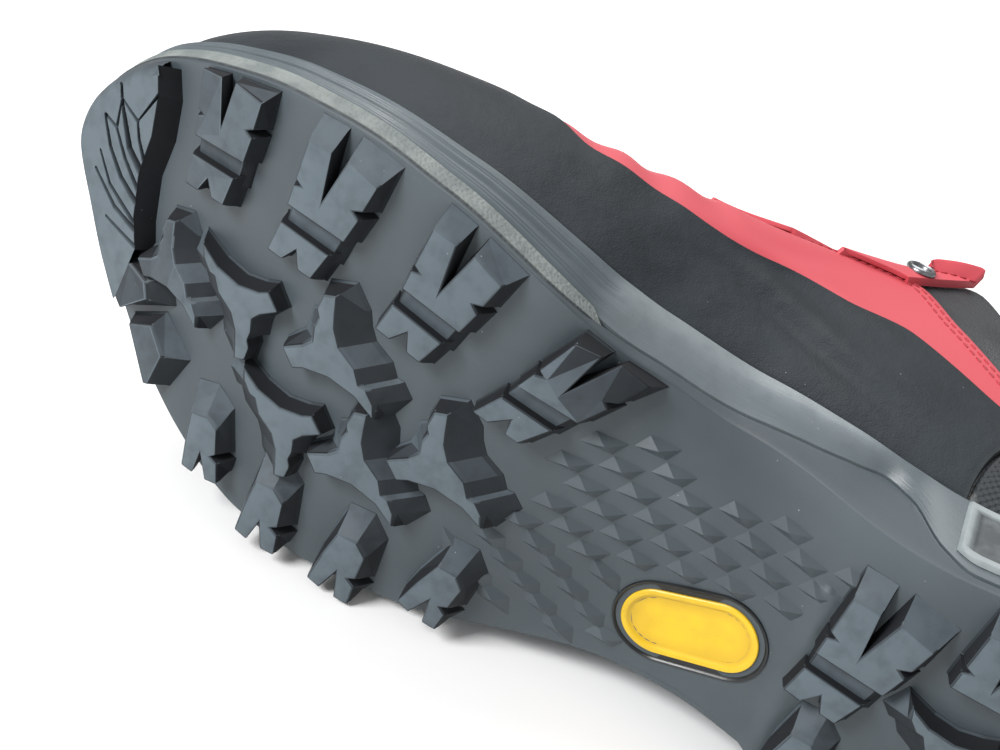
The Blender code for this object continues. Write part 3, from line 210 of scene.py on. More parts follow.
@dataclass
class ShoeForm:
    """Sizes and curves of the standing shoe that every piece shares."""

    length: float = 0.292
    half_width: float = 0.0525
    spring_rise: float = 0.0258
    spring_start: float = 0.685
    spring_power: float = 1.6
    waist_rise: float = 0.0069
    waist_from: float = 0.247
    waist_to: float = 0.603
    arch_rise: float = 0.0072
    arch_reach: float = 0.032
    heel_bevel_rise: float = 0.004
    heel_bevel_length: float = 0.024
    lug_height: float = 0.005
    stack: float = 0.027
    flare: float = 0.004
    stripe_height: float = 0.0034
    clearance: float = 0.0003
    collar_height: float = 0.062
    feather_inset: float = 0.003
    bulge: float = 0.006
    crease_height: float = 0.085
    to_world: Matrix = field(default_factory=Matrix)

    def __post_init__(self) -> None:
        """Works out the ring of points from the heel along the medial side and back."""
        half = np.linspace(0, 1, HALF_RING * FINE + 1)
        self.turn = np.concatenate([half, half[::-1][1:-1]])
        self.station = (1 - np.cos(math.pi * self.turn)) / 2
        self.medial = np.arange(len(self.turn)) <= HALF_RING * FINE
        reach = self.by_side(OUTLINE, "medial", "lateral", self.turn) * self.half_width
        self.rim = np.column_stack(
            [self.length * self.station, np.where(self.medial, reach, -reach)]
        )
        run = np.roll(self.rim, -1, axis=0) - np.roll(self.rim, 1, axis=0)
        self.outward = unit(np.column_stack([-run[:, 1], run[:, 0]]))
        flare = self.by_side(OUTLINE, "medial_flare", "lateral_flare", self.turn)
        self.flare_out = self.flare * flare
        self.bottom = self.web_height(self.rim[:, 0], self.rim[:, 1])
        rim_share = self.by_side(LAYERS, "medial_rim", "lateral_rim", self.station)
        self.rim_top = self.bottom + self.stack * rim_share
        self.stripe_tall = self.stripe_height * STRIPE.read("height", self.station)
        self.wall_foot = self.rim_top + self.clearance + self.stripe_tall
        self.bed = self.bed_height(self.rim[:, 0])
        self.form_upper()

    def form_upper(self) -> None:
        """Works out the four control rings of the upper's wall."""
        self.foot = self.around(self.flare_out - self.feather_inset, self.bed + self.clearance)
        across = self.by_side(TOPLINE, "medial", "lateral", self.turn)
        side = np.where(self.medial, 1, -1)
        height = self.collar_height * TOPLINE.read("height", self.turn)
        self.head = np.column_stack(
            [
                self.length * TOPLINE.read("station", self.turn),
                side * across * self.half_width,
                self.lug_height + self.stack + height,
            ]
        )
        tall = (self.head - self.foot)[:, 2:]
        form = {name: WALL_FORM.read(name, self.turn)[:, None] for name in ("rise", "reach", "drop")}
        bulge = self.by_side(WALL_FORM, "medial_bulge", "lateral_bulge", self.turn) * self.bulge
        out = np.column_stack([self.outward, np.zeros(len(self.turn))])
        up = np.array([0, 0, 1])
        flat = np.array([1, 1, 0])
        self.low = self.foot + out * bulge[:, None] + up * form["rise"] * tall
        lean = (self.foot - self.head) * flat * form["reach"]
        self.high = self.head + lean - up * form["drop"] * tall
        self.rand = self.by_side(BANDS, "medial_rand", "lateral_rand", self.turn)
        self.stay = BANDS.read("stay", self.turn)

    def by_side(self, table: Table, medial: str, lateral: str, key: Array) -> Array:
        """Returns one value for each ring point, from the column of its own side."""
        return np.where(self.medial, table.read(medial, key), table.read(lateral, key))

    def tread_height(self, x: Array, y: Array) -> Array:
        """Returns the height of the lug tops over the ground."""
        x = np.asarray(x, float)
        y = np.asarray(y, float)
        start = self.spring_start * self.length
        share = np.clip((x - start) / (self.length - start), 0, None)
        bevel = self.heel_bevel_rise * np.clip(1 - x / self.heel_bevel_length, 0, 1) ** 2
        arch = self.arch_rise * np.clip(y / self.arch_reach, 0, 1.5) ** 2
        along = (x / self.length - self.waist_from) / (self.waist_to - self.waist_from)
        wave = np.sin(math.pi * np.clip(along, 0, 1)) ** 2
        return self.spring_rise * share**self.spring_power + bevel + wave * (self.waist_rise + arch)

    def web_height(self, x: Array, y: Array) -> Array:
        """Returns the height of the outsole's underside between the lugs."""
        return self.tread_height(x, y) + self.lug_height

    def bed_height(self, x: Array) -> Array:
        """Returns the height of the midsole's top."""
        x = np.asarray(x, float)
        return self.web_height(x, 0 * x) + self.stack * LAYERS.read("bed", x / self.length)

    def reach(self, x: Array) -> tuple[Array, Array]:
        """Returns how far the rim reaches at x, on the medial and on the lateral side."""
        turn = turn_of(np.clip(x / self.length, 0, 1))
        return tuple(OUTLINE.read(side, turn) * self.half_width for side in ("medial", "lateral"))

    def spanned(self, ring: Array, count: int, step: int = 1) -> Array:
        """Rows of points across the shoe, from the lateral half of a ring to the medial one.

        Args:
            ring: the ring.
            count: points in each row.
            step: ring points from one row to the next.

        Returns:
            The rows, from heel to toe.
        """
        keep = np.arange(0, HALF_RING * FINE + 1, step)
        mirror = (len(ring) - keep) % len(ring)
        shares = np.linspace(0, 1, count)[None, :, None]
        return ring[mirror][:, None] * (1 - shares) + ring[keep][:, None] * shares

    def tall(self, columns: Array) -> Array:
        """Returns the straight height of the upper's wall at columns of the coarse grid."""
        return np.linalg.norm(self.pick(self.head - self.foot, columns), axis=1)

    def around(self, outset: Array, height: Array) -> Array:
        """Returns a ring of points at an outset from the rim and at a height."""
        plan = self.rim + self.outward * np.reshape(outset, (-1, 1))
        return np.column_stack([plan, np.broadcast_to(height, len(plan))])

    def wall_point(self, share: float, proud: Array) -> Array:
        """Returns the midsole's side at a share of its height, standing proud."""
        height = self.wall_foot + (self.bed - self.wall_foot) * share
        return self.around(self.flare_out * share + proud, height)

    def pick(self, ring: Array, columns: Array) -> Array:
        """Reads a ring at columns of the coarse grid, which may be fractions.

        Args:
            ring: values for each point of the fine ring.
            columns: columns from 0 to 64, or negative ones back from the heel.

        Returns:
            The values there.
        """
        place = np.asarray(columns, float) * FINE
        low = np.floor(place).astype(int)
        share = place - low
        count = len(self.turn)
        first = ring[low % count]
        second = ring[(low + 1) % count]
        if ring.ndim > 1:
            share = share[..., None]
        return first + (second - first) * share

    def surface(self, columns: Array, shares: Array) -> tuple[Array, Array]:
        """Points and outward normals of the upper.

        Args:
            columns: columns of the coarse grid.
            shares: shares of the wall, rows by columns.

        Returns:
            Points and normals, rows by columns by 3.
        """
        def bezier(at: Array) -> tuple[Array, Array]:
            """Returns the points and the direction up the wall."""
            foot, low, high, head = (
                self.pick(ring, at)[None] for ring in (self.foot, self.low, self.high, self.head)
            )
            s = shares[..., None]
            t = 1 - s
            points = t**3 * foot + 3 * s * t**2 * low + 3 * s**2 * t * high + s**3 * head
            upward = t**2 * (low - foot) + 2 * s * t * (high - low) + s**2 * (head - high)
            return points, upward

        points, upward = bezier(columns)
        along = bezier(columns + 0.25)[0] - bezier(columns - 0.25)[0]
        normals = unit(np.cross(upward, along))
        normals[..., 2] *= smooth(shares, 0, 0.05)
        normals = unit(normals)
        points = points + normals * self.creased(columns, shares, points)[..., None]
        return points, normals

    def creased(self, columns: Array, shares: Array, points: Array) -> Array:
        """Returns how far the soft creases move the wall along its normal."""
        sign = np.where((columns % RING) <= HALF_RING, 1, -1)
        move = np.zeros(shares.shape)
        rows = np.array(list(CREASES.columns.values())).T
        for station, share, turn, length, width, depth, side in rows:
            along = points[..., 0] - station * self.length
            up = (shares - share) * self.crease_height
            run = along * math.cos(turn) + up * math.sin(turn)
            off = (up * math.cos(turn) - along * math.sin(turn)) / width
            form = np.exp(-((run / length) ** 2)) * depth
            move -= form * (np.exp(-(off**2)) - 0.6 * np.exp(-((off - 1.6) ** 2))) * (sign == side)
        return move

    def lay(self, points: Array) -> Array:
        """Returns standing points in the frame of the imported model."""
        matrix = np.array(self.to_world)
        return np.asarray(points) @ matrix[:3, :3].T + matrix[:3, 3]

    def sheet(self, name: str, rows: Array, **options: object) -> Thing:
        """Makes a mesh from rows of standing points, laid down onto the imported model.

        Args:
            name: name of the object.
            rows: rows of points.
            options: what else the mesh from rows may be given.

        Returns:
            The linked object.
        """
        return grid_object(name, self.lay(rows), **options)

    def throat(self, level: float, depth: float) -> tuple[Array, Array, Array]:
        """Both inner edges of the throat at a level, and the upward normal between them.

        Args:
            level: column of the medial edge on the coarse grid.
            depth: how far under the upper's outer face the edges lie.

        Returns:
            The medial point, the lateral point and the normal.
        """
        columns = np.array([level, RING - level, level - 1, RING - level + 1])
        points, normals = self.surface(columns, np.ones((1, 4)))
        edge = points[0] - normals[0] * depth
        forward = edge[:2].mean(axis=0) - edge[2:].mean(axis=0)
        return edge[0], edge[1], unit(np.cross(forward, [0, 1, 0]))


def matrix_of(axes: Array, place: Array) -> Matrix:
    """Returns the matrix with the axes as its columns, at a place."""
    whole = np.eye(4)
    whole[:3, :3] = axes
    whole[:3, 3] = place
    return Matrix(whole.tolist())


def linked(name: str, data: bpy.types.ID) -> Thing:
    """Returns a new object with the data, linked to the scene."""
    thing = bpy.data.objects.new(name, data)
    bpy.context.scene.collection.objects.link(thing)
    return thing


def shaded(mesh: bpy.types.Mesh, sharp: float = 40) -> bpy.types.Mesh:
    """Shades a mesh smooth, but for edges above an angle in degrees, and returns it."""
    mesh.shade_smooth()
    mesh.set_sharp_from_angle(angle=math.radians(sharp))
    return mesh


def mesh_object(name: str, points: Array, faces: list, edges: list | None = None) -> Thing:
    """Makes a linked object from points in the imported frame.

    Args:
        name: name of the object and its mesh.
        points: its points.
        faces: its faces, as lists of indices.
        edges: its loose edges, as pairs of indices.

    Returns:
        The object.
    """
    mesh = bpy.data.meshes.new(name)
    mesh.from_pydata(np.asarray(points).tolist(), edges or [], faces)
    return linked(name, shaded(mesh) if faces else mesh)


def set_tone(mesh: bpy.types.Mesh, values: Array, domain: str = "POINT") -> None:
    """Stores values for the points or faces; the finishes read them as wear, as a second zone, and on
    the tread and the stripe as painted light and shade.
    """
    layer = mesh.attributes.new("tone", "FLOAT", domain)
    layer.data.foreach_set("value", np.asarray(values, np.float32).ravel())


def grid_object(
    name: str,
    grid: Array,
    closed: bool = False,
    flip: bool = False,
    tone: Array | None = None,
) -> Thing:
    """Makes a mesh from rows of points, with a UV map in metres along the surface.

    Args:
        name: name of the object.
        grid: rows by columns by 3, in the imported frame.
        closed: whether each row is a ring.
        flip: whether the faces point the other way.
        tone: a value for each point.

    Returns:
        The linked object.
    """
    rows, columns = grid.shape[:2]
    index = np.arange(rows * columns).reshape(rows, columns)
    after = np.roll(index, -1, axis=1)
    stop = columns if closed else columns - 1
    a, b = index[:-1, :stop], after[:-1, :stop]
    d, c = index[1:, :stop], after[1:, :stop]
    faces = np.stack((a, b, c, d) if flip else (a, d, c, b), -1).reshape(-1, 4)
    thing = mesh_object(name, grid.reshape(-1, 3), faces.tolist())
    middle = grid[rows // 2]
    steps = np.linalg.norm(np.diff(np.vstack([middle, middle[:1]]), axis=0), axis=1)
    u = np.concatenate([[0], np.cumsum(steps)])
    v = np.concatenate([[0], np.cumsum(np.linalg.norm(np.diff(grid, axis=0), axis=2).mean(1))])
    j = np.broadcast_to(np.arange(stop), (rows - 1, stop))
    i = np.broadcast_to(np.arange(rows - 1)[:, None], (rows - 1, stop))
    near = [(j, i), (j + 1, i), (j + 1, i + 1), (j, i + 1)]
    order = near if flip else [near[0], near[3], near[2], near[1]]
    uv = np.stack([np.stack([u[p], v[q]], -1) for p, q in order], -2)
    layer = thing.data.uv_layers.new(name="surface")
    layer.data.foreach_set("uv", uv.astype(np.float32).ravel())
    if tone is not None:
        set_tone(thing.data, tone)
    return thing


def merged(thing: Thing, gap: float = 0.000002) -> Thing:
    """Closes seams and poles by merging points that coincide."""
    shape = bmesh.new()
    shape.from_mesh(thing.data)
    bmesh.ops.remove_doubles(shape, verts=shape.verts, dist=gap)
    shape.to_mesh(thing.data)
    shape.free()
    return thing


def joined(name: str, things: list[Thing]) -> Thing:
    """Joins several objects into the first and names it."""
    with bpy.context.temp_override(
        active_object=things[0], selected_editable_objects=things, object=things[0]
    ):
        bpy.ops.object.join()
    things[0].name = name
    things[0].data.name = name
    return things[0]


class Graph:
    """Short way to add and link shader nodes."""

    def __init__(self, tree: bpy.types.NodeTree) -> None:
        """Keeps the tree."""
        self.tree = tree

    def add(self, kind: str, settings: dict | None = None, **inputs: object) -> bpy.types.Node:
        """Adds a node.

        Args:
            kind: type of the node.
            settings: its properties.
            inputs: values or sockets by input name, with _ for a space.

        Returns:
            The node.
        """
        node = self.tree.nodes.new(kind)
        for key, value in (settings or {}).items():
            setattr(node, key, value)
        for key, value in inputs.items():
            self.feed(node.inputs[key.replace("_", " ")], value)
        return node

    def feed(self, socket: Socket, value: object) -> None:
        """Links a socket, or sets its value."""
        if isinstance(value, Socket):
            self.tree.links.new(value, socket)
        else:
            socket.default_value = value

    def math(self, operation: str, first: object, second: object = 0.0) -> Socket:
        """Returns the result of a sum on two values or sockets."""
        node = self.add("ShaderNodeMath", {"operation": operation})
        self.feed(node.inputs[0], first)
        self.feed(node.inputs[1], second)
        return node.outputs[0]

    def ramp(self, value: object, low: float, high: float, to: tuple = (0.0, 1.0)) -> object:
        """Returns a value mapped from low and high to a range."""
        node = self.add("ShaderNodeMapRange", {"interpolation_type": "SMOOTHSTEP"})
        for index, item in enumerate((value, low, high, *to)):
            self.feed(node.inputs[index], item)
        return node.outputs[0]

    def mix(self, factor: object, first: object, second: object) -> Socket:
        """Returns a colour between two colours."""
        node = self.add("ShaderNodeMix", {"data_type": "RGBA"})
        for index, item in ((0, factor), (6, first), (7, second)):
            self.feed(node.inputs[index], (*item, 1) if isinstance(item, tuple) else item)
        return node.outputs[2]

    def noise(self, vector: object, size: float, detail: float = 3.0) -> Socket:
        """Returns a soft random pattern with features of a size."""
        node = self.add("ShaderNodeTexNoise", None, Vector=vector, Scale=1 / size, Detail=detail)
        return node.outputs[0]


class Pattern(Enum):
    """Kinds of fine relief."""

    GRAIN = "grain"
    PITS = "pits"
    BRUSHED = "brushed"
    WEAVE = "weave"
    KNIT = "knit"
    BRAID = "braid"


@dataclass(frozen=True)
class Relief:
    """One layer of fine relief: its kind, the size of its features and its depth."""

    pattern: Pattern
    size: float
    depth: float

    def height(self, graph: Graph, place: object, surface: object) -> object:
        """Adds the pattern.

        Args:
            graph: the material's nodes.
            place: object coordinates.
            surface: the piece's UV map.

        Returns:
            The socket with the height from 0 to 1.
        """
        if self.pattern is Pattern.GRAIN:
            return graph.noise(place, self.size, 4.0)
        if self.pattern is Pattern.PITS:
            node = graph.add("ShaderNodeTexVoronoi", None, Vector=place, Scale=1 / self.size)
            return graph.ramp(node.outputs[0], 0.1, 0.7)
        if self.pattern is Pattern.BRUSHED:
            scale = graph.add("ShaderNodeVectorMath", {"operation": "MULTIPLY"})
            graph.feed(scale.inputs[0], surface)
            graph.feed(scale.inputs[1], (0.12, 1.0, 1.0))
            return graph.noise(scale.outputs[0], self.size, 5.0)
        split = graph.add("ShaderNodeSeparateXYZ", None, Vector=surface)
        waves = [graph.math("MULTIPLY", split.outputs[k], math.pi / self.size) for k in (0, 1)]
        across = graph.math("ABSOLUTE", graph.math("SINE", waves[0]))
        if self.pattern is Pattern.WEAVE:
            along = graph.math("SINE", waves[1])
            both = graph.math("MULTIPLY", graph.math("SINE", waves[0]), along)
            return graph.ramp(both, -0.8, 0.8)
        lean = 1.6 if self.pattern is Pattern.KNIT else 3.0
        bend = graph.math("MULTIPLY", across, lean)
        along = graph.math("SINE", graph.math("ADD", graph.math("MULTIPLY", waves[1], 1.4), bend))
        return graph.math("MULTIPLY", graph.math("POWER", across, 0.5), graph.ramp(along, -1.0, 0.6))


@dataclass(frozen=True)
class Finish:
    """A material with patches of a second colour, fine relief, dust, and a tone colour for wear and
    painted light and shade.
    """

    name: str
    slot: str
    colour: Colour
    second: Colour
    rough: float
    reliefs: tuple[Relief, ...] = ()
    patch: float = 0.02
    # Tone colour where the tone is 1: wear on most finishes, painted light and shade on the tread
    # rubber and the stripe.
    toned: Colour | None = None
    toned_rough: float = 0.0
    dust: float = 0.0
    coat: float = 0.0
    coat_rough: float = 0.2
    sheen: float = 0.0
    sheen_rough: float = 0.4
    metallic: float = 0.0
    specular: float = 0.5

    def material(self) -> bpy.types.Material:
        """Returns the material, made on its first use."""
        made = bpy.data.materials.get(self.name)
        if made:
            return made
        made = bpy.data.materials.new(self.name)
        made.use_nodes = True
        graph = Graph(made.node_tree)
        shader = made.node_tree.nodes["Principled BSDF"]
        source = graph.add("ShaderNodeTexCoord")
        place = source.outputs["Object"]
        surface = source.outputs["UV"]
        broad = graph.noise(place, self.patch, 5.0)
        colour = graph.mix(graph.ramp(broad, 0.35, 0.65), self.colour, self.second)
        rough = graph.ramp(broad, 0.3, 0.7, (self.rough - 0.06, self.rough + 0.06))
        # Mixes in the tone colour by the tone attribute: wear, and on the tread and the stripe painted
        # light and shade.
        if self.toned:
            tone = graph.add("ShaderNodeAttribute", {"attribute_name": "tone"}).outputs["Fac"]
            blotches = graph.ramp(graph.noise(place, 0.004), 0.25, 0.6, (0.75, 1.0))
            wear_and_light = graph.math("MULTIPLY", tone, blotches)
            colour = graph.mix(wear_and_light, colour, self.toned)
            rough = graph.math("ADD", rough, graph.math("MULTIPLY", tone, self.toned_rough))
            rough = graph.math("MINIMUM", rough, 0.95)
        if self.dust:
            cells = graph.add("ShaderNodeTexVoronoi", None, Vector=place, Scale=330.0)
            speck = graph.ramp(cells.outputs[0], 0.06, 0.03)
            rare = graph.ramp(graph.noise(place, 0.009, 2.0), 0.56, 0.62)
            speck = graph.math("MULTIPLY", graph.math("MULTIPLY", speck, rare), self.dust)
            colour = graph.mix(speck, colour, (0.30, 0.31, 0.31))
        graph.feed(shader.inputs["Base Color"], colour)
        graph.feed(shader.inputs["Roughness"], rough)
        normal = None
        for relief in self.reliefs:
            height = relief.height(graph, place, surface)
            bump = graph.add("ShaderNodeBump", None, Distance=relief.depth, Height=height)
            if normal:
                graph.feed(bump.inputs["Normal"], normal)
            normal = bump.outputs[0]
            graph.feed(shader.inputs["Normal"], normal)
        constants = {
            "Metallic": self.metallic,
            "Specular IOR Level": self.specular,
            "Coat Weight": self.coat,
            "Coat Roughness": self.coat_rough,
            "Sheen Weight": self.sheen,
            "Sheen Roughness": self.sheen_rough,
            "Sheen Tint": (*self.second, 1),
        }
        for label, value in constants.items():
            shader.inputs[label].default_value = value
        return made

    def dress(self, thing: Thing, *nodes: str) -> Thing:
        """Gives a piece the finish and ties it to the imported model.

        Args:
            thing: the piece.
            nodes: names of the nodes that it stands for.

        Returns:
            The piece.
        """
        thing.data.materials.clear()
        thing.data.materials.append(self.material())
        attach(thing, "root")
        if nodes:
            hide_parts(*nodes)
        LOG.info("%s: %d faces", thing.name, len(thing.data.polygons))
        return thing


# Tread rubber: the near-black base colour is painted shade on the lug and plate walls; the light tone
# colour is the tops' own grey, and painted light on faces turned towards the key light.
TREAD_RUBBER = Finish(
    "tread rubber", "outsole_rubber", (0.004, 0.005, 0.007), (0.007, 0.009, 0.012), 0.84,
    (Relief(Pattern.GRAIN, 0.0009, 0.00004), Relief(Pattern.GRAIN, 0.00025, 0.00001)),
    toned=(0.084, 0.108, 0.126), toned_rough=-0.32, dust=0.7, specular=0.35, patch=0.03,
)
WEB_RUBBER = Finish(
    "web rubber", "outsole_rubber", (0.043, 0.056, 0.065), (0.054, 0.070, 0.080), 0.52,
    (Relief(Pattern.GRAIN, 0.0011, 0.00004), Relief(Pattern.GRAIN, 0.0003, 0.000012)),
    toned=(0.105, 0.130, 0.145), dust=0.9, patch=0.035,
)
RAND_RUBBER = Finish(
    "rand rubber", "rand_rubber", (0.009, 0.013, 0.017), (0.016, 0.022, 0.027), 0.62,
    (Relief(Pattern.PITS, 0.0005, 0.00003), Relief(Pattern.GRAIN, 0.009, 0.0006)),
    toned=(0.20, 0.21, 0.20), toned_rough=0.1, dust=0.8, patch=0.02, specular=0.32,
)
FOAM = Finish(
    "midsole foam", "midsole_foam", (0.066, 0.084, 0.094), (0.082, 0.103, 0.114), 0.44,
    (Relief(Pattern.BRUSHED, 0.0009, 0.00007), Relief(Pattern.GRAIN, 0.0005, 0.00002)),
    toned=(0.185, 0.212, 0.226), toned_rough=-0.04, dust=0.6, patch=0.02,
)
# Rough stripe: the dark tone colour is painted shade along the edges that tuck into the rebate.
STRIPE_PLASTIC = Finish(
    "rough stripe", "stripe_plastic", (0.135, 0.155, 0.152), (0.195, 0.215, 0.208), 0.72,
    (Relief(Pattern.PITS, 0.0009, 0.00010), Relief(Pattern.GRAIN, 0.0004, 0.00005)),
    toned=(0.030, 0.036, 0.040), patch=0.006,
)
PANEL_PLASTIC = Finish(
    "heel panel", "stripe_plastic", (0.21, 0.24, 0.25), (0.28, 0.31, 0.315), 0.5,
    (Relief(Pattern.GRAIN, 0.0005, 0.00003),), toned=(0.045, 0.052, 0.055), patch=0.01,
)
INLAY_YELLOW = Finish(
    "inlay plastic", "inlay_plastic", (0.64, 0.40, 0.002), (0.72, 0.46, 0.003), 0.40,
    (Relief(Pattern.GRAIN, 0.0008, 0.00003),), patch=0.008, coat=0.25, toned=(0.50, 0.29, 0.0),
)
DARK_RECESS = Finish(
    "recess shadow", "outsole_rubber", (0.006, 0.007, 0.008), (0.010, 0.011, 0.012), 0.35,
    (Relief(Pattern.GRAIN, 0.0008, 0.00003),), patch=0.008,
)
SUEDE = Finish(
    "suede", "suede", (0.25, 0.027, 0.040), (0.41, 0.070, 0.092), 0.92,
    (Relief(Pattern.GRAIN, 0.0028, 0.00030), Relief(Pattern.GRAIN, 0.0006, 0.00028)),
    toned=(0.24, 0.016, 0.026), patch=0.0030, sheen=0.12, specular=0.15,
)
THREAD = Finish(
    "thread", "suede", (0.30, 0.018, 0.030), (0.38, 0.028, 0.040), 0.6,
    (Relief(Pattern.GRAIN, 0.0003, 0.00006),), patch=0.004, sheen=0.2,
)
BLACK_LEATHER = Finish(
    "black synthetic", "heel_fabric", (0.013, 0.016, 0.019), (0.021, 0.025, 0.028), 0.50,
    (Relief(Pattern.GRAIN, 0.0016, 0.00010), Relief(Pattern.PITS, 0.0006, 0.00004)),
    dust=0.4, patch=0.012,
)
HEEL_TEXTILE = Finish(
    "heel textile", "heel_fabric", (0.010, 0.013, 0.015), (0.017, 0.021, 0.024), 0.66,
    (Relief(Pattern.WEAVE, 0.0009, 0.00022), Relief(Pattern.BRUSHED, 0.0022, 0.00018)),
    toned=(0.26, 0.27, 0.26), dust=0.9, patch=0.01, sheen=0.1,
)
LINING = Finish(
    "lining mesh", "insole_fabric", (0.030, 0.033, 0.036), (0.048, 0.052, 0.056), 0.85,
    (Relief(Pattern.WEAVE, 0.0011, 0.00025),), patch=0.008, sheen=0.3,
)
INSOLE_CLOTH = Finish(
    "insole cloth", "insole_fabric", (0.085, 0.092, 0.098), (0.11, 0.12, 0.126), 0.88,
    (Relief(Pattern.WEAVE, 0.0008, 0.00015),), toned=(0.05, 0.054, 0.058), patch=0.02, sheen=0.2,
)
KNIT = Finish(
    "red knit", "red_knit", (0.66, 0.007, 0.013), (0.76, 0.012, 0.020), 0.74,
    (Relief(Pattern.KNIT, 0.0016, 0.0006),), toned=(0.34, 0.004, 0.008), patch=0.01, sheen=0.3,
)
LACE_CORD = Finish(
    "lace cord", "red_knit", (0.74, 0.008, 0.014), (0.84, 0.016, 0.022), 0.6,
    (Relief(Pattern.BRAID, 0.0011, 0.0004),), toned=(0.45, 0.004, 0.010), patch=0.006, sheen=0.2,
)
METAL = Finish(
    "eyelet metal", "eyelet_metal", (0.20, 0.21, 0.22), (0.28, 0.29, 0.30), 0.34,
    (Relief(Pattern.GRAIN, 0.0006, 0.00002),), patch=0.003, metallic=1.0,
)


@dataclass
class Scatter:
    """Geometry Nodes that repeat a small form, made plain afterwards.

    Attributes:
        name: name of the tree.
        sizes: named inputs of the tree with their values.
    """

    name: str
    sizes: dict[str, float]

    def __post_init__(self) -> None:
        """Makes the empty tree with its named inputs."""
        self.tree = bpy.data.node_groups.new(self.name, "GeometryNodeTree")
        face = self.tree.interface
        face.new_socket("Geometry", in_out="OUTPUT", socket_type="NodeSocketGeometry")
        face.new_socket("Geometry", in_out="INPUT", socket_type="NodeSocketGeometry")
        self.sockets = {
            label: face.new_socket(label, in_out="INPUT", socket_type="NodeSocketFloat")
            for label in self.sizes
        }
        self.graph = Graph(self.tree)
        self.given = self.graph.add("NodeGroupInput")

    def size(self, label: str) -> Socket:
        """Returns the socket of a named input."""
        return self.given.outputs[label]

    def finish(self, material: bpy.types.Material, **inputs: object) -> None:
        """Repeats the form, realizes it, gives it the material and ends the tree.

        Args:
            material: the material.
            inputs: sockets with the points, the form, its rotation and its scale.
        """
        spread = self.graph.add("GeometryNodeInstanceOnPoints", None, **inputs)
        real = self.graph.add("GeometryNodeRealizeInstances", None, Geometry=spread.outputs[0])
        dressed = self.graph.add(
            "GeometryNodeSetMaterial", None, Geometry=real.outputs[0], Material=material
        )
        self.graph.add("NodeGroupOutput", None, Geometry=dressed.outputs[0])

    def run(self, thing: Thing, sharp: float = 30) -> Thing:
        """Runs the tree on an object and turns the result into its plain mesh.

        Args:
            thing: object with the points or paths.
            sharp: angle in degrees above which an edge stays sharp.

        Returns:
            The same object with the result.
        """
        step = thing.modifiers.new(self.name, "NODES")
        step.node_group = self.tree
        for label, value in self.sizes.items():
            step[self.sockets[label].identifier] = value
        graph = bpy.context.evaluated_depsgraph_get()
        mesh = bpy.data.meshes.new_from_object(thing.evaluated_get(graph))
        thing.modifiers.remove(step)
        thing.data = shaded(mesh, sharp)
        return thing


EDGE_BLOCK = (
    (0.75, 1.05, 0, 0.45), (0.15, 1.1, 0, 0.45), (0, 0, 0, 0.1), (-0.26, 1.15, 0, 0.45),
    (-1.05, 1, -0.2, 0.45), (-0.93, 0.36, -0.2, 0), (-0.72, 0.25, -0.12, 0),
    (-0.91, 0.14, -0.2, 0), (-0.76, -0.5, -0.2, 0), (0.75, -0.53, 0.05, 0),
    (0.75, -0.05, 0.05, 0), (0.57, 0.03, 0.03, 0), (0.75, 0.11, 0.05, 0),
)
EDGE_STEP = (
    (0.7, -0.3, 0.05, 0), (-0.7, -0.3, -0.2, 0), (-0.55, -1.2, -0.2, 0), (0.7, -1.2, 0.05, 0),
)
EDGE_INNER = (
    (0.76, -0.97, 0.05, 0), (-0.55, -0.97, -0.2, 0), (-0.33, -1.72, -0.2, -0.05),
    (0.02, -1.72, 0, -0.05), (0.2, -1.32, 0, 0), (0.47, -1.74, 0, -0.05),
    (0.86, -1.74, 0.05, -0.05),
)
PROPELLER = (
    (0.85, 1.3, 0.05, 0.1), (0.88, 0.92, 0.05, 0), (0.77, 0.75, 0.08, 0), (0.8, 0.5, 0.25, 0.1),
    (0.72, 0.15, 0.3, 0.1), (0.9, -0.1, 0.15, 0.1), (1.34, -0.45, 0.05, 0),
    (0.95, -0.77, 0.05, -0.05), (0.7, -0.6, 0, -0.05), (0.1, -0.42, 0, -0.05),
    (-0.6, -0.48, 0, -0.05), (-1.17, -0.76, -0.2, -0.05), (-1.05, -0.45, -0.6, 0.3),
    (-0.78, -0.2, -0.6, 0.3), (-0.6, -0.2, -0.6, 0.3), (-0.38, 0.12, -0.58, 0.3),
    (0.12, 0.37, -0.58, 0.3), (0.37, 0.72, -0.6, 0.25), (0.47, 1.05, -0.55, 0.25),
    (0.57, 1.43, -0.2, 0.25),
)
SIDE_BLOCK = (
    (-0.55, 0.7, -0.1, -0.25), (-0.18, 0.73, -0.02, -0.25), (0.02, 0.05, 0, -0.05),
    (0.22, 0.72, 0.02, -0.25), (0.58, 0.66, 0.05, -0.25), (0.5, -0.2, 0.1, 0),
    (0.38, -0.95, 0.08, -0.55), (-0.1, -1, 0, -0.6), (-0.42, -0.75, -0.15, -0.45),
    (-0.45, -0.1, -0.25, 0), (-0.28, 0.02, -0.15, 0), (-0.5, 0.14, -0.25, 0),
)
TOE_BLOCK = (
    (0.92, 0.2, 0.05, 0.05), (0.1, 0.52, 0.02, 0.12), (-0.45, 0.4, -0.45, 0.3),
    (-0.62, 0.05, -0.6, 0.1), (0.05, -0.72, 0, -0.05), (0.7, -0.28, 0.05, 0),
)
TOE_END_BLOCK = (
    (0.62, 0.12, 0.1, -0.02), (-0.02, 0.55, -0.1, 0.2), (-0.55, 0.05, -0.55, 0.1),
    (-0.4, -0.9, -0.35, 0.05), (-0.28, -0.98, -0.05, 0.05),
)
HEEL_TIP_BLOCK = (
    (-0.75, 0.95, -0.12, 0.12), (-1.02, 0.1, -0.15, 0), (-0.35, 0.02, 0, -0.05),
    (-1.02, -0.08, -0.15, 0), (-0.75, -0.95, -0.12, -0.12), (0.1, -1.05, 0.15, -0.12),
    (0.55, -0.35, 0.25, 0), (0.55, 0.35, 0.25, 0), (0.1, 1.05, 0.15, 0.12),
)
WHOLE = 1.0
STEP = 0.55
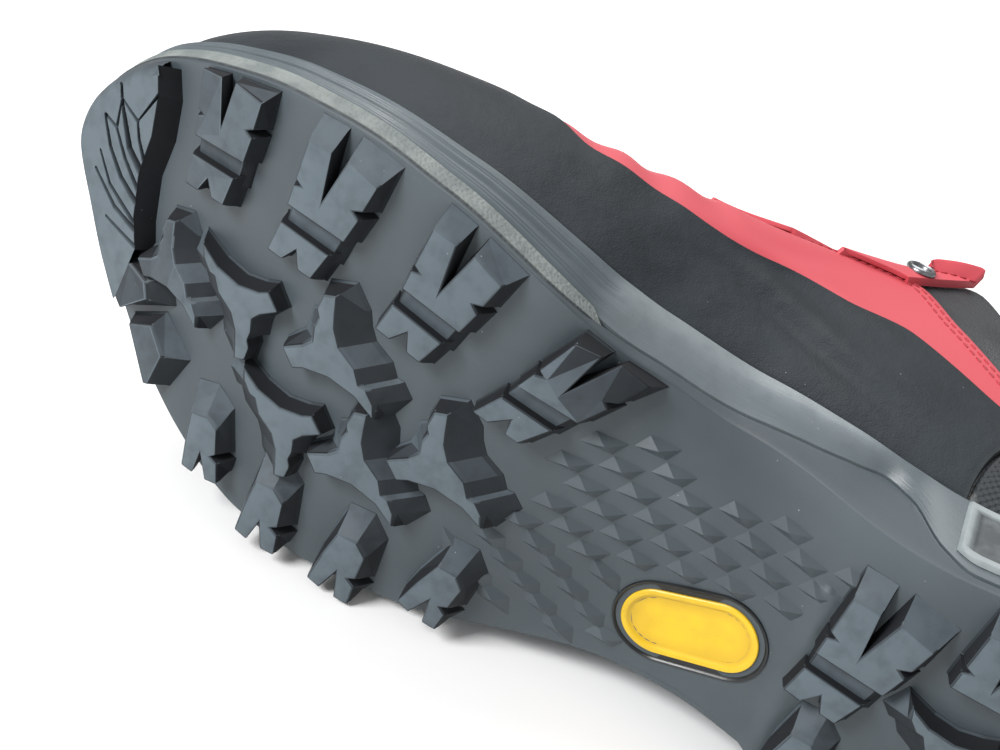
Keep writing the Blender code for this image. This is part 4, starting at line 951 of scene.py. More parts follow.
LUG_PLACES = (
    (
        ((EDGE_BLOCK, WHOLE), (EDGE_STEP, STEP), (EDGE_INNER, WHOLE)), 1,
        (
            (0.861, 0.670, -8, 0.05, 0.95), (0.762, 0.676), (0.657, 0.619, 11, 0.10, 0.98),
            (0.549, 0.476, 11, -0.25, 0.95), (0.283, 0.105, 0, 0, 1.02),
        ),
    ),
    (((EDGE_BLOCK, WHOLE),), 1, ((0.200, 0.300, 0, 0, 0.95), (0.120, 0.300, 8, 0, 0.95))),
    (
        ((PROPELLER, WHOLE),), 1,
        (
            (0.863, -0.095, 4, 0, 0.85), (0.808, 0.030, 178, 0, 0.92), (0.707, 0.076),
            (0.741, -0.355, 180, 0, 0.92), (0.658, -0.345, 6, 0, 0.98), (0.599, -0.140, 2),
            (0.200, -0.090, 180, 0, 0.85), (0.122, -0.060, 180, 0, 0.80),
        ),
    ),
    (
        ((SIDE_BLOCK, WHOLE),), -1,
        (
            (0.790, -0.760, -14, 0, 0.95), (0.720, -0.870, -4), (0.646, -0.880, 3),
            (0.570, -0.755, 12, 0, 0.95), (0.278, -0.570, 0, 0, 0.95), (0.205, -0.570),
            (0.13, -0.52, -8, 0, 0.95),
        ),
    ),
    (((TOE_BLOCK, WHOLE),), 1, ((0.905, -0.310),)),
    (((TOE_END_BLOCK, WHOLE),), 1, ((0.872, -0.500),)),
    (((HEEL_TIP_BLOCK, WHOLE),), 1, ((0.053, 0.050, 0, 0, 1.05),)),
)


@dataclass(frozen=True)
class Lug:
    """One lug: outlines with their share of the height, side, and place in the plan.

    Attributes:
        parts: pairs of an outline and its share of the full height.
        side: 1, or -1 for a mirrored outline.
        station: share of the shoe's length from the heel.
        across: distance from the middle line, in half widths.
        turn: turn in degrees.
        lean: how far the outline leans.
        size: scale of the outline.
    """

    parts: tuple
    side: int
    station: float
    across: float
    turn: float = 0.0
    lean: float = 0.0
    size: float = 1.0


LUGS = tuple(Lug(parts, side, *place) for parts, side, places in LUG_PLACES for place in places)


@dataclass
class Tread:
    """Lugs and climbing plate of the outsole."""

    form: ShoeForm
    module: float = 0.010
    draft: float = 0.0005
    inset: float = 0.0008
    root: float = 0.001
    root_width: float = 0.0005
    edge: float = 0.00035
    crisp_angle: float = 32
    plate_inset: float = 0.0022
    sipe_depth: float = 0.0016
    plate_rear: tuple = (
        (0.934, 0.7, -0.02), (0.926, 0.58, -0.024), (0.922, 0.4, -0.024), (0.925, 0.21, -0.022),
        (0.918, 0, -0.02), (0.908, -0.13, -0.016),
    )
    sipes: tuple = (
        (0.0010, ((0.969, 0.547), (0.961, 0.446))),
        (0.0009, ((0.961, 0.446), (0.959, 0.317))),
        (0.0010, ((0.961, 0.446), (0.949, 0.426), (0.939, 0.410))),
        (0.0009, ((0.939, 0.410), (0.925, 0.594))),
        (0.0014, ((0.939, 0.410), (0.933, 0.345), (0.922, 0.271))),
        (0.0026, ((0.960, 0.430), (0.940, 0.270), (0.922, 0.215))),
        (0.0015, ((0.974, 0.317), (0.959, 0.306), (0.942, 0.212), (0.921, 0.132))),
        (0.0019, ((0.974, 0.310), (0.960, 0.201), (0.941, 0.118), (0.920, 0.074))),
        (0.0014, ((0.970, 0.148), (0.951, 0.047), (0.917, -0.018))),
        (0.0016, ((0.970, 0.055), (0.940, -0.030), (0.912, -0.048))),
        (0.0012, ((0.946, -0.105), (0.909, -0.115))),
    )

    def plan(self, lug: Lug, outline: tuple) -> tuple[Array, Array]:
        """Plan of a lug's top and of its foot.

        Args:
            lug: place of the lug.
            outline: outline of the part, in modules.

        Returns:
            The two outlines in metres.
        """
        form = self.form
        rows = np.array(outline) * self.module * lug.size
        rows[:, 0] += lug.lean * rows[:, 1]
        rows[:, [1, 3]] *= lug.side
        angle = math.radians(lug.turn)
        cos, sin = math.cos(angle), math.sin(angle)
        spin = np.array([[cos, sin], [-sin, cos]])
        centre = np.array([form.length * lug.station, form.half_width * lug.across])
        top = rows[:, :2] @ spin + centre
        foot = self.grown(top, self.draft) + rows[:, 2:] @ spin
        medial, lateral = form.reach(foot[:, 0])
        foot[:, 1] = np.clip(foot[:, 1], self.inset - lateral, medial - self.inset)
        return top, foot

    def grown(self, plan: Array, by: float) -> Array:
        """Returns an outline grown by a distance."""
        before = plan - np.roll(plan, 1, axis=0)
        after = np.roll(plan, -1, axis=0) - plan
        cross = plan[:, 0] * np.roll(plan[:, 1], -1) - plan[:, 1] * np.roll(plan[:, 0], -1)
        run = unit(before) + unit(after)
        normal = unit(np.column_stack([run[:, 1], -run[:, 0]])) * math.copysign(1, cross.sum())
        return plan + normal * by

    def block(self, top: Array, foot: Array, share: float) -> Thing:
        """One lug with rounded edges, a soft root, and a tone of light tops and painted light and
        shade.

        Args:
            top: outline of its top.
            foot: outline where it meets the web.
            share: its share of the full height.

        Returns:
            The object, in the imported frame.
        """
        form = self.form
        low = form.tread_height(*top.T) + (1 - share) * form.lug_height
        web = form.web_height(*foot.T)
        wide = self.grown(foot, self.root_width)
        rings = [
            np.column_stack([top, low]),
            np.column_stack([foot + (top - foot) * 0.85, low + (web - low) * 0.15]),
            np.column_stack([foot + (top - foot) * 0.12, web - 0.0007]),
            np.column_stack([foot * 0.5 + wide * 0.5, web - 0.0001]),
            np.column_stack([wide, web + self.root]),
        ]
        count = len(top)
        shape = bmesh.new()
        rows = [[shape.verts.new(point) for point in ring] for ring in rings]
        shape.faces.new(rows[0])
        for first, second in zip(rows, rows[1:]):
            for i in range(count):
                j = (i + 1) % count
                shape.faces.new((first[i], second[i], second[j], first[j]))
        shape.faces.new(rows[-1][::-1])
        bmesh.ops.recalc_face_normals(shape, faces=shape.faces)
        if shape.calc_volume(signed=True) < 0:
            bmesh.ops.reverse_faces(shape, faces=shape.faces)
        upper = set(rows[0])
        limit = math.radians(self.crisp_angle)
        crisp = [e for e in shape.edges if e.is_manifold and e.calc_face_angle(0) > limit]
        crisp = [e for e in crisp if upper.intersection(e.verts)]
        bmesh.ops.bevel(
            shape, geom=crisp, offset=self.edge, segments=2, profile=0.5, affect="EDGES",
            clamp_overlap=True, offset_type="OFFSET",
        )
        bmesh.ops.triangulate(shape, faces=[f for f in shape.faces if len(f.verts) > 4])
        mesh = bpy.data.meshes.new("lug")
        shape.to_mesh(mesh)
        shape.free()
        normals = np.array([face.normal for face in mesh.polygons])
        facing = -normals[:, 2]
        # Painted light: sloped faces turned towards the key light take the light tone colour; the
        # walls stay near black as painted shade.
        lit_side = 0.12 + 0.60 * smooth(normals @ np.array([0.55, 0.83, 0.0]), 0.10, 0.42)
        tone = lit_side * smooth(facing, 0.30, 0.62)
        tone = tone + (1 - tone) * smooth(facing, 0.93, 0.97)
        # The tops take the rubber's light grey; lower steps get less of it, painted shade.
        set_tone(mesh, tone * (0.30 + 0.70 * share), "FACE")
        mesh.transform(form.to_world)
        return linked("lug", shaded(mesh, 28))

    def build_lugs(self) -> Thing:
        """Returns all lugs as one piece."""
        blocks = [
            self.block(*self.plan(lug, outline), share)
            for lug in LUGS
            for outline, share in lug.parts
        ]
        return TREAD_RUBBER.dress(joined("tread_lugs", blocks))

    def build_plate(self) -> Thing:
        """Returns the smooth climbing plate under the toe, with its branching fine cuts."""
        form = self.form
        scale = np.array([form.length, form.half_width])
        rear = np.array(self.plate_rear)
        lean = rear[:, 2]
        rear = rear[:, :2] * scale
        spread = np.concatenate([[0], np.cumsum(np.linalg.norm(np.diff(rear, axis=0), axis=1))])
        across = np.linspace(0, 1, 300)
        at = across * spread[-1]
        back = np.column_stack([np.interp(at, spread, rear[:, k]) for k in (0, 1)])
        first = float(turn_of(self.plate_rear[0][0]))
        last = 2 - float(turn_of(self.plate_rear[-1][0] + 0.012))
        columns = (first + (last - first) * across) * HALF_RING
        rim = form.pick(form.rim - form.outward * self.plate_inset, columns)
        side = form.pick(form.rim - form.outward * 0.0004, columns)
        along = np.linspace(0, 1, 150)[:, None, None]
        plan = back[None] * (1 - along) + rim[None] * along
        level = form.tread_height(plan[..., 0], plan[..., 1])
        cut = np.zeros(level.shape)
        for width, path in self.sipes:
            line = np.array(path) * scale
            runs = np.linalg.norm(np.diff(line, axis=0), axis=1)
            done = 0.0
            for start, end, run in zip(line, line[1:], runs):
                ahead = (end - start) / run
                off = plan - start
                reach = np.clip(off @ ahead, 0, run)
                gap = np.linalg.norm(off - reach[..., None] * ahead, axis=-1)
                half = width / 2 * (0.45 + 0.55 * (done + reach) / runs.sum())
                cut = np.maximum(cut, np.clip(1 - gap / half, 0, 1))
                done += run
        top = np.dstack([plan, level + self.sipe_depth * np.minimum(cut * 1.6, 1)])
        # Tone: the plate's face takes the light grey; the fine cuts go near black, painted shade in
        # the cuts.
        tone = 0.95 - np.minimum(cut * 2, 1)
        drop = []
        for out, height in ((0.02, 0.0001), (0.05, 0.0004), (0.9, 0.0046), (1.0, 0.0062)):
            foot = back.copy()
            foot[:, 0] += np.interp(at, spread, lean) * form.length * out
            drop.append(np.column_stack([foot, form.tread_height(*back.T) + height]))
        brim = []
        for out, height in ((0.35, 0.0002), (0.8, 0.0012), (1.0, 0.0030), (1.0, 0.0062)):
            edge = rim + (side - rim) * out
            brim.append(np.column_stack([edge, form.tread_height(*rim.T) + height]))
        grid = np.concatenate([np.array(drop[::-1]), top, np.array(brim)])
        # The rear step walls stay near black and the brim darkens as it turns away: painted shade.
        dark = np.zeros((4, len(across)))
        tone = np.concatenate([dark, tone, dark + np.array([0.8, 0.6, 0.4, 0.3])[:, None]])
        plate = form.sheet("climbing_plate", grid, tone=tone)
        return TREAD_RUBBER.dress(plate)


@dataclass
class Outsole:
    """Rubber web, wrapped rim, waist relief and tread."""

    form: ShoeForm
    lattice_first: tuple[float, float] = (-0.0057, -0.0040)
    lattice_second: tuple[float, float] = (0.0046, -0.0075)
    lattice_origin: tuple[float, float] = (0.1330, 0.0141)
    relief_height: float = 0.0021
    relief_middle: tuple[float, float] = (0.124, 0.004)
    relief_slant: tuple[float, float] = (0.84, 0.30)
    relief_reach: float = 0.0265
    lateral_margin: float = 0.0045
    medial_margin: float = 0.011
    inlay_margin: float = 0.0042
    ridges_beside: float = -0.014
    ridges_ahead: float = -0.004
    breast_middle: float = 0.0925
    breast_slant: float = 0.12
    breast_half: float = 0.0016
    breast_depth: float = 0.0012

    def build(self) -> None:
        """Makes the outsole's pieces."""
        self.build_web()
        self.build_rim()
        self.build_relief()
        tread = Tread(self.form)
        tread.build_lugs()
        tread.build_plate()

    def build_web(self) -> Thing:
        """Returns the underside between the lugs, which stands for the outsole node."""
        form = self.form
        plan = form.spanned(form.rim, 97)
        x, y = plan[..., 0], plan[..., 1]
        tone = 0.10 * smooth(np.abs(np.linspace(0, 1, 97) - 0.5) + 0 * x, 0.40, 0.50)
        middle = self.breast_middle + self.breast_slant * np.clip(y, -0.04, 0.04)
        beyond = smooth(np.abs(x - middle) - self.breast_half, 0, 0.0012)
        level = form.web_height(x, y) - self.breast_depth * (1 - beyond) * (y < 0.012)
        grid = np.dstack([plan, level])
        web = form.sheet("outsole_web", grid, tone=tone, flip=True)
        return WEB_RUBBER.dress(merged(web), "outsole")

    def build_rim(self) -> Thing:
        """Returns the wall of the outsole that wraps the midsole."""
        form = self.form
        tall = form.rim_top - form.bottom
        rows = []
        for out, low, share in (
            (-0.0014, -0.00002, 0.0), (-0.0008, 0.0001, 0.0), (-0.0004, 0.0003, 0.0),
            (-0.0001, 0.0007, 0.0), (0.0, 0.0013, 0.0), (0.0, 0.0004, 0.3), (0.0, 0.0, 0.6),
            (0.0, 0.0, 0.85), (0.0, -0.0003, 1.0), (-0.0002, 0.0, 1.0), (-0.0005, 0.0, 1.0),
            (-0.0018, 0, 1),
        ):
            rows.append(form.around(np.full(len(tall), out), form.bottom + tall * share + low))
        tone = np.zeros((len(rows), len(tall)))
        tone[:4] = 0.12
        tone[8:] = 0.45
        rim = form.sheet("outsole_rim", rows, closed=True, tone=tone)
        return WEB_RUBBER.dress(rim)

    def build_relief(self) -> None:
        """Makes the low pyramids of the waist, which stretch into ridges at the lateral edge."""
        form = self.form
        rows = {"pyramids": [], "ridges": []}
        first = np.array(self.lattice_first)
        second = np.array(self.lattice_second)
        inlay = Inlay(form)
        for i in range(-9, 14):
            for j in range(-9, 12):
                spot = np.array(self.lattice_origin) + first * i + second * j
                y = spot[1]
                medial, lateral = form.reach(spot[0])
                along = float((spot - self.relief_middle) @ self.relief_slant)
                past = y < self.lateral_margin - lateral or y > medial - self.medial_margin
                if abs(along) > self.relief_reach or past:
                    continue
                if inlay.distance(spot) < self.inlay_margin:
                    continue
                ridge = y < self.ridges_beside and along > self.ridges_ahead
                rows["ridges" if ridge else "pyramids"].append(spot)
        across = first - second
        tall = self.relief_height
        self.raise_relief("waist_pyramids", rows["pyramids"], first * 0.55, across * 0.55, tall)
        self.raise_relief("waist_ridges", rows["ridges"], first * 1.05, across * 0.40, tall * 0.9)

    def raise_relief(self, name: str, places: list, short: Array, long: Array, height: float) -> Thing:
        """Repeats one low pyramid over the waist.

        Args:
            name: name of the piece.
            places: plan positions.
            short: half of its short diagonal, in the plan.
            long: half of its long diagonal.
            height: how far it stands out.

        Returns:
            The piece.
        """
        form = self.form
        base = np.array(form.to_world.to_3x3())
        x, y = np.array(places).T
        level = form.web_height(x, y)
        step = 0.0004
        slope_x = (form.web_height(x + step, y) - level) / step
        slope_y = (form.web_height(x, y + step) - level) / step
        turns = []
        for rise_x, rise_y in zip(slope_x, slope_y):
            up = unit(np.array([-rise_x, -rise_y, 1.0]))
            ahead = unit(np.array([1.0, 0.0, rise_x]))
            axes = base @ np.column_stack([ahead, np.cross(up, ahead), up])
            turns.append(tuple(Matrix(axes.tolist()).to_quaternion()))
        thing = mesh_object(name, form.lay(np.column_stack([x, y, level])), [])
        aim = thing.data.attributes.new("aim", "QUATERNION", "POINT")
        aim.data.foreach_set("value", np.array(turns, np.float32).ravel())
        sizes = {
            "Short X": float(short[0]), "Short Y": float(short[1]),
            "Long X": float(long[0]), "Long Y": float(long[1]),
            "Height": height, "Root": 0.0003,
        }
        scatter = Scatter(name, sizes)
        graph = scatter.graph
        cone = graph.add(
            "GeometryNodeMeshCone", {"fill_type": "NGON"}, Vertices=4, Radius_Top=0.0,
            Radius_Bottom=1.0, Depth=1.0,
        )
        split = graph.add("ShaderNodeSeparateXYZ")
        graph.feed(split.inputs[0], graph.add("GeometryNodeInputPosition").outputs[0])
        sums = []
        for axis in ("X", "Y"):
            near = graph.math("MULTIPLY", split.outputs[0], scatter.size(f"Short {axis}"))
            far = graph.math("MULTIPLY", split.outputs[1], scatter.size(f"Long {axis}"))
            sums.append(graph.math("ADD", near, far))
        tall = graph.math("ADD", scatter.size("Height"), scatter.size("Root"))
        drop = graph.math("MULTIPLY", split.outputs[2], tall)
        sums.append(graph.math("SUBTRACT", scatter.size("Root"), drop))
        place = graph.add("ShaderNodeCombineXYZ", None, X=sums[0], Y=sums[1], Z=sums[2])
        shaped = graph.add(
            "GeometryNodeSetPosition", None, Geometry=cone.outputs["Mesh"], Position=place.outputs[0]
        )
        turned = graph.add("GeometryNodeInputNamedAttribute", {"data_type": "QUATERNION"}, Name="aim")
        scatter.finish(
            WEB_RUBBER.material(), Points=scatter.given.outputs["Geometry"],
            Instance=shaped.outputs[0], Rotation=turned.outputs["Attribute"],
        )
        return WEB_RUBBER.dress(scatter.run(thing, 5))


@dataclass
class Inlay:
    """Plain oval plate with a raised border, let into the waist."""

    form: ShoeForm
    length: float = 0.032
    width: float = 0.017
    rim: float = 0.0016
    proud: float = 0.0006
    station: float = 0.389
    across: float = -0.337
    turn: float = -25.4

    def __post_init__(self) -> None:
        """Works out the middle, the directions and the straight half length of the oval."""
        angle = math.radians(self.turn)
        cos, sin = math.cos(angle), math.sin(angle)
        self.axes = np.array([[cos, -sin], [sin, cos]])
        self.middle = np.array(
            [self.form.length * self.station, self.form.half_width * self.across]
        )
        self.straight = (self.length - self.width) / 2

    def distance(self, spot: Array) -> float:
        """Returns how far a spot of the plan lies outside the oval."""
        along, beside = (spot - self.middle) @ self.axes
        return math.hypot(max(abs(along) - self.straight, 0), beside) - self.width / 2

    def ring(self, outset: float, depth: float) -> Array:
        """Returns the oval grown by an outset at a depth from the web."""
        angle = np.linspace(0, 2 * math.pi, 96, endpoint=False) + math.pi / 96
        spoke = np.column_stack([np.cos(angle), np.sin(angle)]) * (self.width / 2 + outset)
        spoke[:, 0] += np.sign(np.cos(angle)) * self.straight
        plan = self.middle + spoke @ self.axes.T
        return np.column_stack([plan, self.form.web_height(*plan.T) + depth])

    def build(self) -> None:
        """Makes the plate and its dark recess."""
        proud = self.proud
        inner = self.rim
        profile = (
            (-0.0003, 0.001), (-0.0002, -proud * 0.6), (-0.0004, -proud),
            (-inner * 0.75, -proud), (-inner, -proud * 0.8), (-inner * 1.25, -proud * 0.15),
            (-inner * 1.5, 0.0), (-0.005, -0.00005), (-0.0075, -0.0001), (-0.00849, -0.0001),
        )
        rows = [self.ring(*row) for row in profile]
        tone = np.zeros((len(rows), len(rows[0])))
        tone[5:7] = 0.5
        plate = self.form.sheet("waist_inlay_plate", rows, closed=True, tone=tone)
        INLAY_YELLOW.dress(plate, "waist_inlay")
        profile = (
            (0.0021, 0.0004), (0.0019, -0.0005), (0.0016, -0.0006), (0.0013, -0.0004),
            (0.0011, 0.0), (-0.0004, 0.0001),
        )
        rows = [self.ring(*row) for row in profile]
        DARK_RECESS.dress(self.form.sheet("waist_inlay_recess", rows, closed=True))


@dataclass
class Midsole:
    """Foam side with its ribs, the rough stripe and the two framed heel panels."""

    form: ShoeForm
    rib_proud: float = 0.0008
    stripe_from: float = 0.545
    panel: tuple[float, float] = (7.0, 11.0)
    panel_thickness: float = 0.0012

    def build(self) -> None:
        """Makes the midsole's pieces."""
        self.build_side()
        self.build_stripe()
        self.build_panel("heel_panel_medial_dressed", 1, "heel_panel_medial")
        self.build_panel("heel_panel_lateral_dressed", -1, "heel_panel_lateral")

    def build_side(self) -> Thing:
        """Returns the foam's side, with a rebate for the stripe and fine ribs."""
        form = self.form
        ribs = self.rib_proud * STRIPE.read("ribs", form.station)
        rebate = np.full(len(ribs), -0.0016)
        rows = [
            form.around(rebate, form.rim_top - 0.0004),
            form.around(rebate, form.wall_foot - 0.0001),
        ]
        shares = np.concatenate([[0.0, 0.004, 0.02], np.linspace(0.05, 0.97, 60), [0.985, 1.0]])
        plate = smooth(form.station, 0.29, 0.37) * (1 - smooth(form.station, 0.545, 0.570))
        plate = plate * np.where(form.medial, 1.0, 0.55)
        for share in shares:
            proud = ribs * (smooth(share, 0.08, 0.14) - smooth(share, 0.34, 0.40))
            proud = proud + ribs * (smooth(share, 0.48, 0.53) - smooth(share, 0.74, 0.80)) * 0.9
            for groove in (0.20, 0.27, 0.60, 0.67):
                dip = np.exp(-(((share - groove) / 0.012) ** 2))
                proud = proud - 0.00028 * (ribs > 0.0002) * dip
            proud = proud - 0.0008 * smooth(share, 0.93, 1.0)
            crest = plate * 0.0009 * np.exp(-(((share - 0.62) / 0.30) ** 2))
            rows.append(form.wall_point(share, proud + crest - 0.0002 * (share == 0)))
        rows.append(form.around(form.flare_out - 0.006, form.bed))
        tones = np.concatenate([[0.0, 0.0], shares, [1.0]])
        tone = plate[None] * (0.35 + 0.65 * smooth(tones, 0.1, 0.9)[:, None])
        side = form.sheet("midsole_side", rows, closed=True, tone=tone)
        return FOAM.dress(side, "midsole")

    def build_stripe(self) -> Thing:
        """Returns the rough light strip round the forefoot, pointed at both ends."""
        form = self.form
        first = float(turn_of(self.stripe_from)) * HALF_RING
        columns = np.linspace(first, RING - first, 420)
        end = np.minimum(columns - first, RING - first - columns)
        taper = smooth(end, -0.05, 0.40)
        foot = form.pick(form.wall_foot, columns)
        low = form.pick(form.rim_top, columns) - 0.0011 * taper
        high = np.maximum(foot + 0.0007, low + 0.0046 * smooth(end, 0, 1.5)) + 0.0002
        rim = form.pick(form.rim, columns)
        out = form.pick(form.outward, columns)
        lean = form.pick(form.flare_out, columns) / (form.pick(form.bed, columns) - foot)
        proud = self.rib_proud * form.pick(STRIPE.read("ribs", form.station), columns)
        rows = []
        tones = []
        # The last number of each row darkens the edges that tuck into the rebate: painted shade in the
        # groove.
        for outset, share, dark in (
            (-0.0013, 0.0, 1.0), (0.0, 0.0, 1.0), (0.00025, 0.04, 1.0), (0.00035, 0.09, 0.6),
            (0.0003, 0.13, 0.0), (0.0003, 0.45, 0.0), (0.0003, 0.78, 0.0), (0.0005, 0.82, 0.0),
            (0.0007, 0.88, 0.0), (0.0006, 0.94, 0.0), (0.0002, 1.0, 0.5), (-0.0013, 1.0, 1.0),
        ):
            height = low + (high - low) * (share * taper)
            up = np.clip(height - foot, 0, None)
            bulge = lean * up + proud * smooth(up, 0.0006, 0.0022)
            aside = outset * taper + bulge - 0.0008 * (1 - taper)
            rows.append(np.column_stack([rim + out * aside[:, None], height]))
            tones.append(np.full(len(columns), dark))
        strip = form.sheet("side_stripe_dressed", rows, tone=tones)
        return STRIPE_PLASTIC.dress(strip, "side_stripe")

    def build_panel(self, name: str, side: int, node: str) -> Thing:
        """Makes one framed heel panel.

        Args:
            name: name of the piece.
            side: 1 for the medial side, -1 for the lateral one.
            node: the node that it stands for.

        Returns:
            The piece.
        """
        form = self.form
        start, stop = self.panel
        place = np.concatenate([[0, 0.003, 0.012], np.linspace(0.03, 0.97, 60), [0.988, 0.997, 1]])
        columns = start + (stop - start) * place
        if side < 0:
            columns = RING - columns[::-1]
        normal = form.pick(np.column_stack([form.outward, np.zeros(len(form.turn))]), columns)
        near_end = np.minimum(place, 1 - place)
        width = near_end * (stop - start) * 0.0125
        rows = []
        tones = []
        for up, tall in zip(place, near_end * 0.018):
            border = np.minimum(width, tall)
            sunk = smooth(border, 0.0020, 0.0026)
            proud = self.panel_thickness * (smooth(border, -0.0001, 0.0004) - 0.55 * sunk)
            ring = form.wall_point(float(0.12 + 0.78 * up), np.zeros(len(form.turn)))
            rows.append(form.pick(ring, columns) + normal * proud[:, None])
            tones.append(sunk)
        panel = form.sheet(name, rows, tone=tones)
        return PANEL_PLASTIC.dress(panel, node)


@dataclass
class Upper:
    """Hollow upper in its layers: shell, lining, suede, rand, heel band, tabs and eyelets."""

    form: ShoeForm
    wall: float = 0.002
    pad: float = 0.0055
    gap: float = 0.0004
    shell_sink: float = 0.0006
    suede_top: float = 0.0004
    rand_top: float = 0.0015
    band_top: float = 0.0010
    seam: float = 11.0
    band_wear: float = 0.4
    rand_wear: float = 0.12
    tab_half: float = 1.06
    tab_tail: float = 0.0044
    tab_lean: float = 1.4
    tab_lift: float = 0.0018
    tab_root: float = -0.0006
    tab_thickness: float = 0.0012
    long_tail: float = 1.5

    def build(self) -> None:
        """Makes the upper's pieces."""
        self.build_shell()
        self.build_suede()
        self.build_rand()
        self.build_heel_band()
        self.build_tabs()
        self.build_eyelets()

    def thickness(self, columns: Array) -> Array:
        """Returns the thickness at the top edge, padded round the collar."""
        turn = self.form.pick(self.form.turn, columns)
        return self.wall + (self.pad - self.wall) * (1 - smooth(turn, 0.40, 0.49))

    def build_shell(self) -> None:
        """Makes the black shell that shows at the collar and throat, and the lining inside."""
        form = self.form
        columns = np.arange(0, RING, 0.25)
        shares = np.repeat(np.linspace(0, 1, 60)[:, None], len(columns), axis=1)
        points, normals = form.surface(columns, shares)
        turn = form.pick(form.turn, columns)
        collar = (1 - smooth(turn, 0.40, 0.49)) * smooth(shares, 0.80, 0.92)
        outer = points - normals * (self.shell_sink - 0.0016 * collar)[..., None]
        thick = self.thickness(columns)[:, None]
        upward = unit(outer[-1] - outer[-3])
        centre = outer[-1] - normals[-1] * thick / 2
        angles = np.linspace(0, math.pi, 13)[1:-1, None, None]
        spoke = normals[-1] * np.cos(angles) + upward * np.sin(angles)
        roll = centre + spoke * thick / 2
        fade = smooth(shares, 0.40, 0.85)
        inside = points - normals * (self.wall + (thick[:, 0] - self.wall) * fade)[..., None]
        shell = np.concatenate([outer, roll[:6]])
        lining = np.concatenate([roll[5:], inside[::-1]])
        BLACK_LEATHER.dress(form.sheet("upper_shell", shell, closed=True), "upper")
        LINING.dress(form.sheet("collar_lining", lining, closed=True))

    def layer(
        self,
        name: str,
        columns: Array,
        low: Array,
        high: Array,
        top: float,
        ends: bool = True,
        rows: int = 36,
        toned: Array | float = 1.0,
    ) -> Thing:
        """One layer over the upper, with rounded borders.

        Args:
            name: name of the piece.
            columns: columns of the coarse grid, in rising order.
            low: share of the wall at the lower border, for each column.
            high: share at the upper border, for each column.
            top: how far its face stands out.
            ends: whether the first and last column are borders too.
            rows: rows between the borders.
            toned: how strongly the borders are worn, which may differ from point to point.

        Returns:
            The object, with a tone along its borders.
        """
        form = self.form
        edge = np.array([0.0, 0.00018, 0.0005, 0.0010])
        lift = np.array([0.0, 0.55, 0.88, 1.0])
        tall = form.tall(columns)
        between = np.linspace(0, 1, rows)[:, None]
        lower = low[None] + edge[:, None] / tall
        upper = high[None] - edge[::-1, None] / tall
        middle = lower[-1] + (upper[0] - lower[-1]) * between[1:-1]
        shares = np.concatenate([lower, middle, upper])
        rise = np.concatenate([lift, np.ones(rows - 2), lift[::-1]])[:, None]
        rise = np.repeat(rise, len(columns), axis=1)
        if ends:
            wide = np.linalg.norm(np.diff(form.pick(form.rim, columns[0] + np.arange(2)), axis=0))
            step = edge[:3] / wide
            columns = np.concatenate(
                [columns[0] + step, columns[1:-1], columns[-1] - step[::-1]]
            )
            shares = np.pad(shares, ((0, 0), (2, 2)), mode="edge")
            rise = np.pad(rise, ((0, 0), (2, 2)), mode="edge")
            side = np.ones(len(columns))
            side[:3] = lift[:3]
            side[-3:] = lift[2::-1]
            rise = np.minimum(rise, side)
        points, normals = form.surface(columns, shares)
        sink = 0.0008
        grid = points + normals * ((top + sink) * rise - sink)[..., None]
        tone = (1 - smooth(rise, 0.8, 1.0)) * toned
        return form.sheet(name, grid, closed=not ends, tone=tone)

    def build_suede(self) -> Thing:
        """Returns the suede from the rand up to the collar and the eyestay."""
        form = self.form
        columns = np.arange(0, RING, 0.2)
        low = form.pick(form.rand, columns) - 0.05
        high = form.pick(form.stay, columns)
        suede = self.layer("suede_body", columns, low, high, self.suede_top, ends=False)
        return SUEDE.dress(suede)

    def build_rand(self) -> Thing:
        """Returns the rubber rand round the front, from seam to seam."""
        form = self.form
        columns = np.arange(self.seam, RING - self.seam + 0.001, 0.14)
        high = form.pick(form.rand, columns)
        rand = self.layer(
            "rand_dressed", columns, 0 * high, high, self.rand_top, rows=40, toned=self.rand_wear
        )
        return RAND_RUBBER.dress(rand, "rand")

    def build_heel_band(self) -> Thing:
        """Returns the woven band round the heel, with traces of glue along its foot."""
        form = self.form
        columns = np.arange(-self.seam, self.seam + 0.001, 0.14)
        high = form.pick(form.rand, columns)
        toned = np.zeros((42, len(columns) + 4))
        toned[:6] = 1.0
        toned[:, [0, 1, 2, 3, -4, -3, -2, -1]] *= self.band_wear
        band = self.layer(
            "heel_band_dressed", columns, 0 * high, high, self.band_top, toned=toned
        )
        return HEEL_TEXTILE.dress(band, "heel_band")

    def build_tabs(self) -> None:
        """Makes the suede tabs that stand up along both edges of the throat."""
        for number, level in enumerate(LACE_LEVELS, 1):
            self.build_tab(f"lace_tab_medial_{number}", level, number == 2)
            self.build_tab(f"lace_tab_lateral_{number}", RING - level, number == 2)

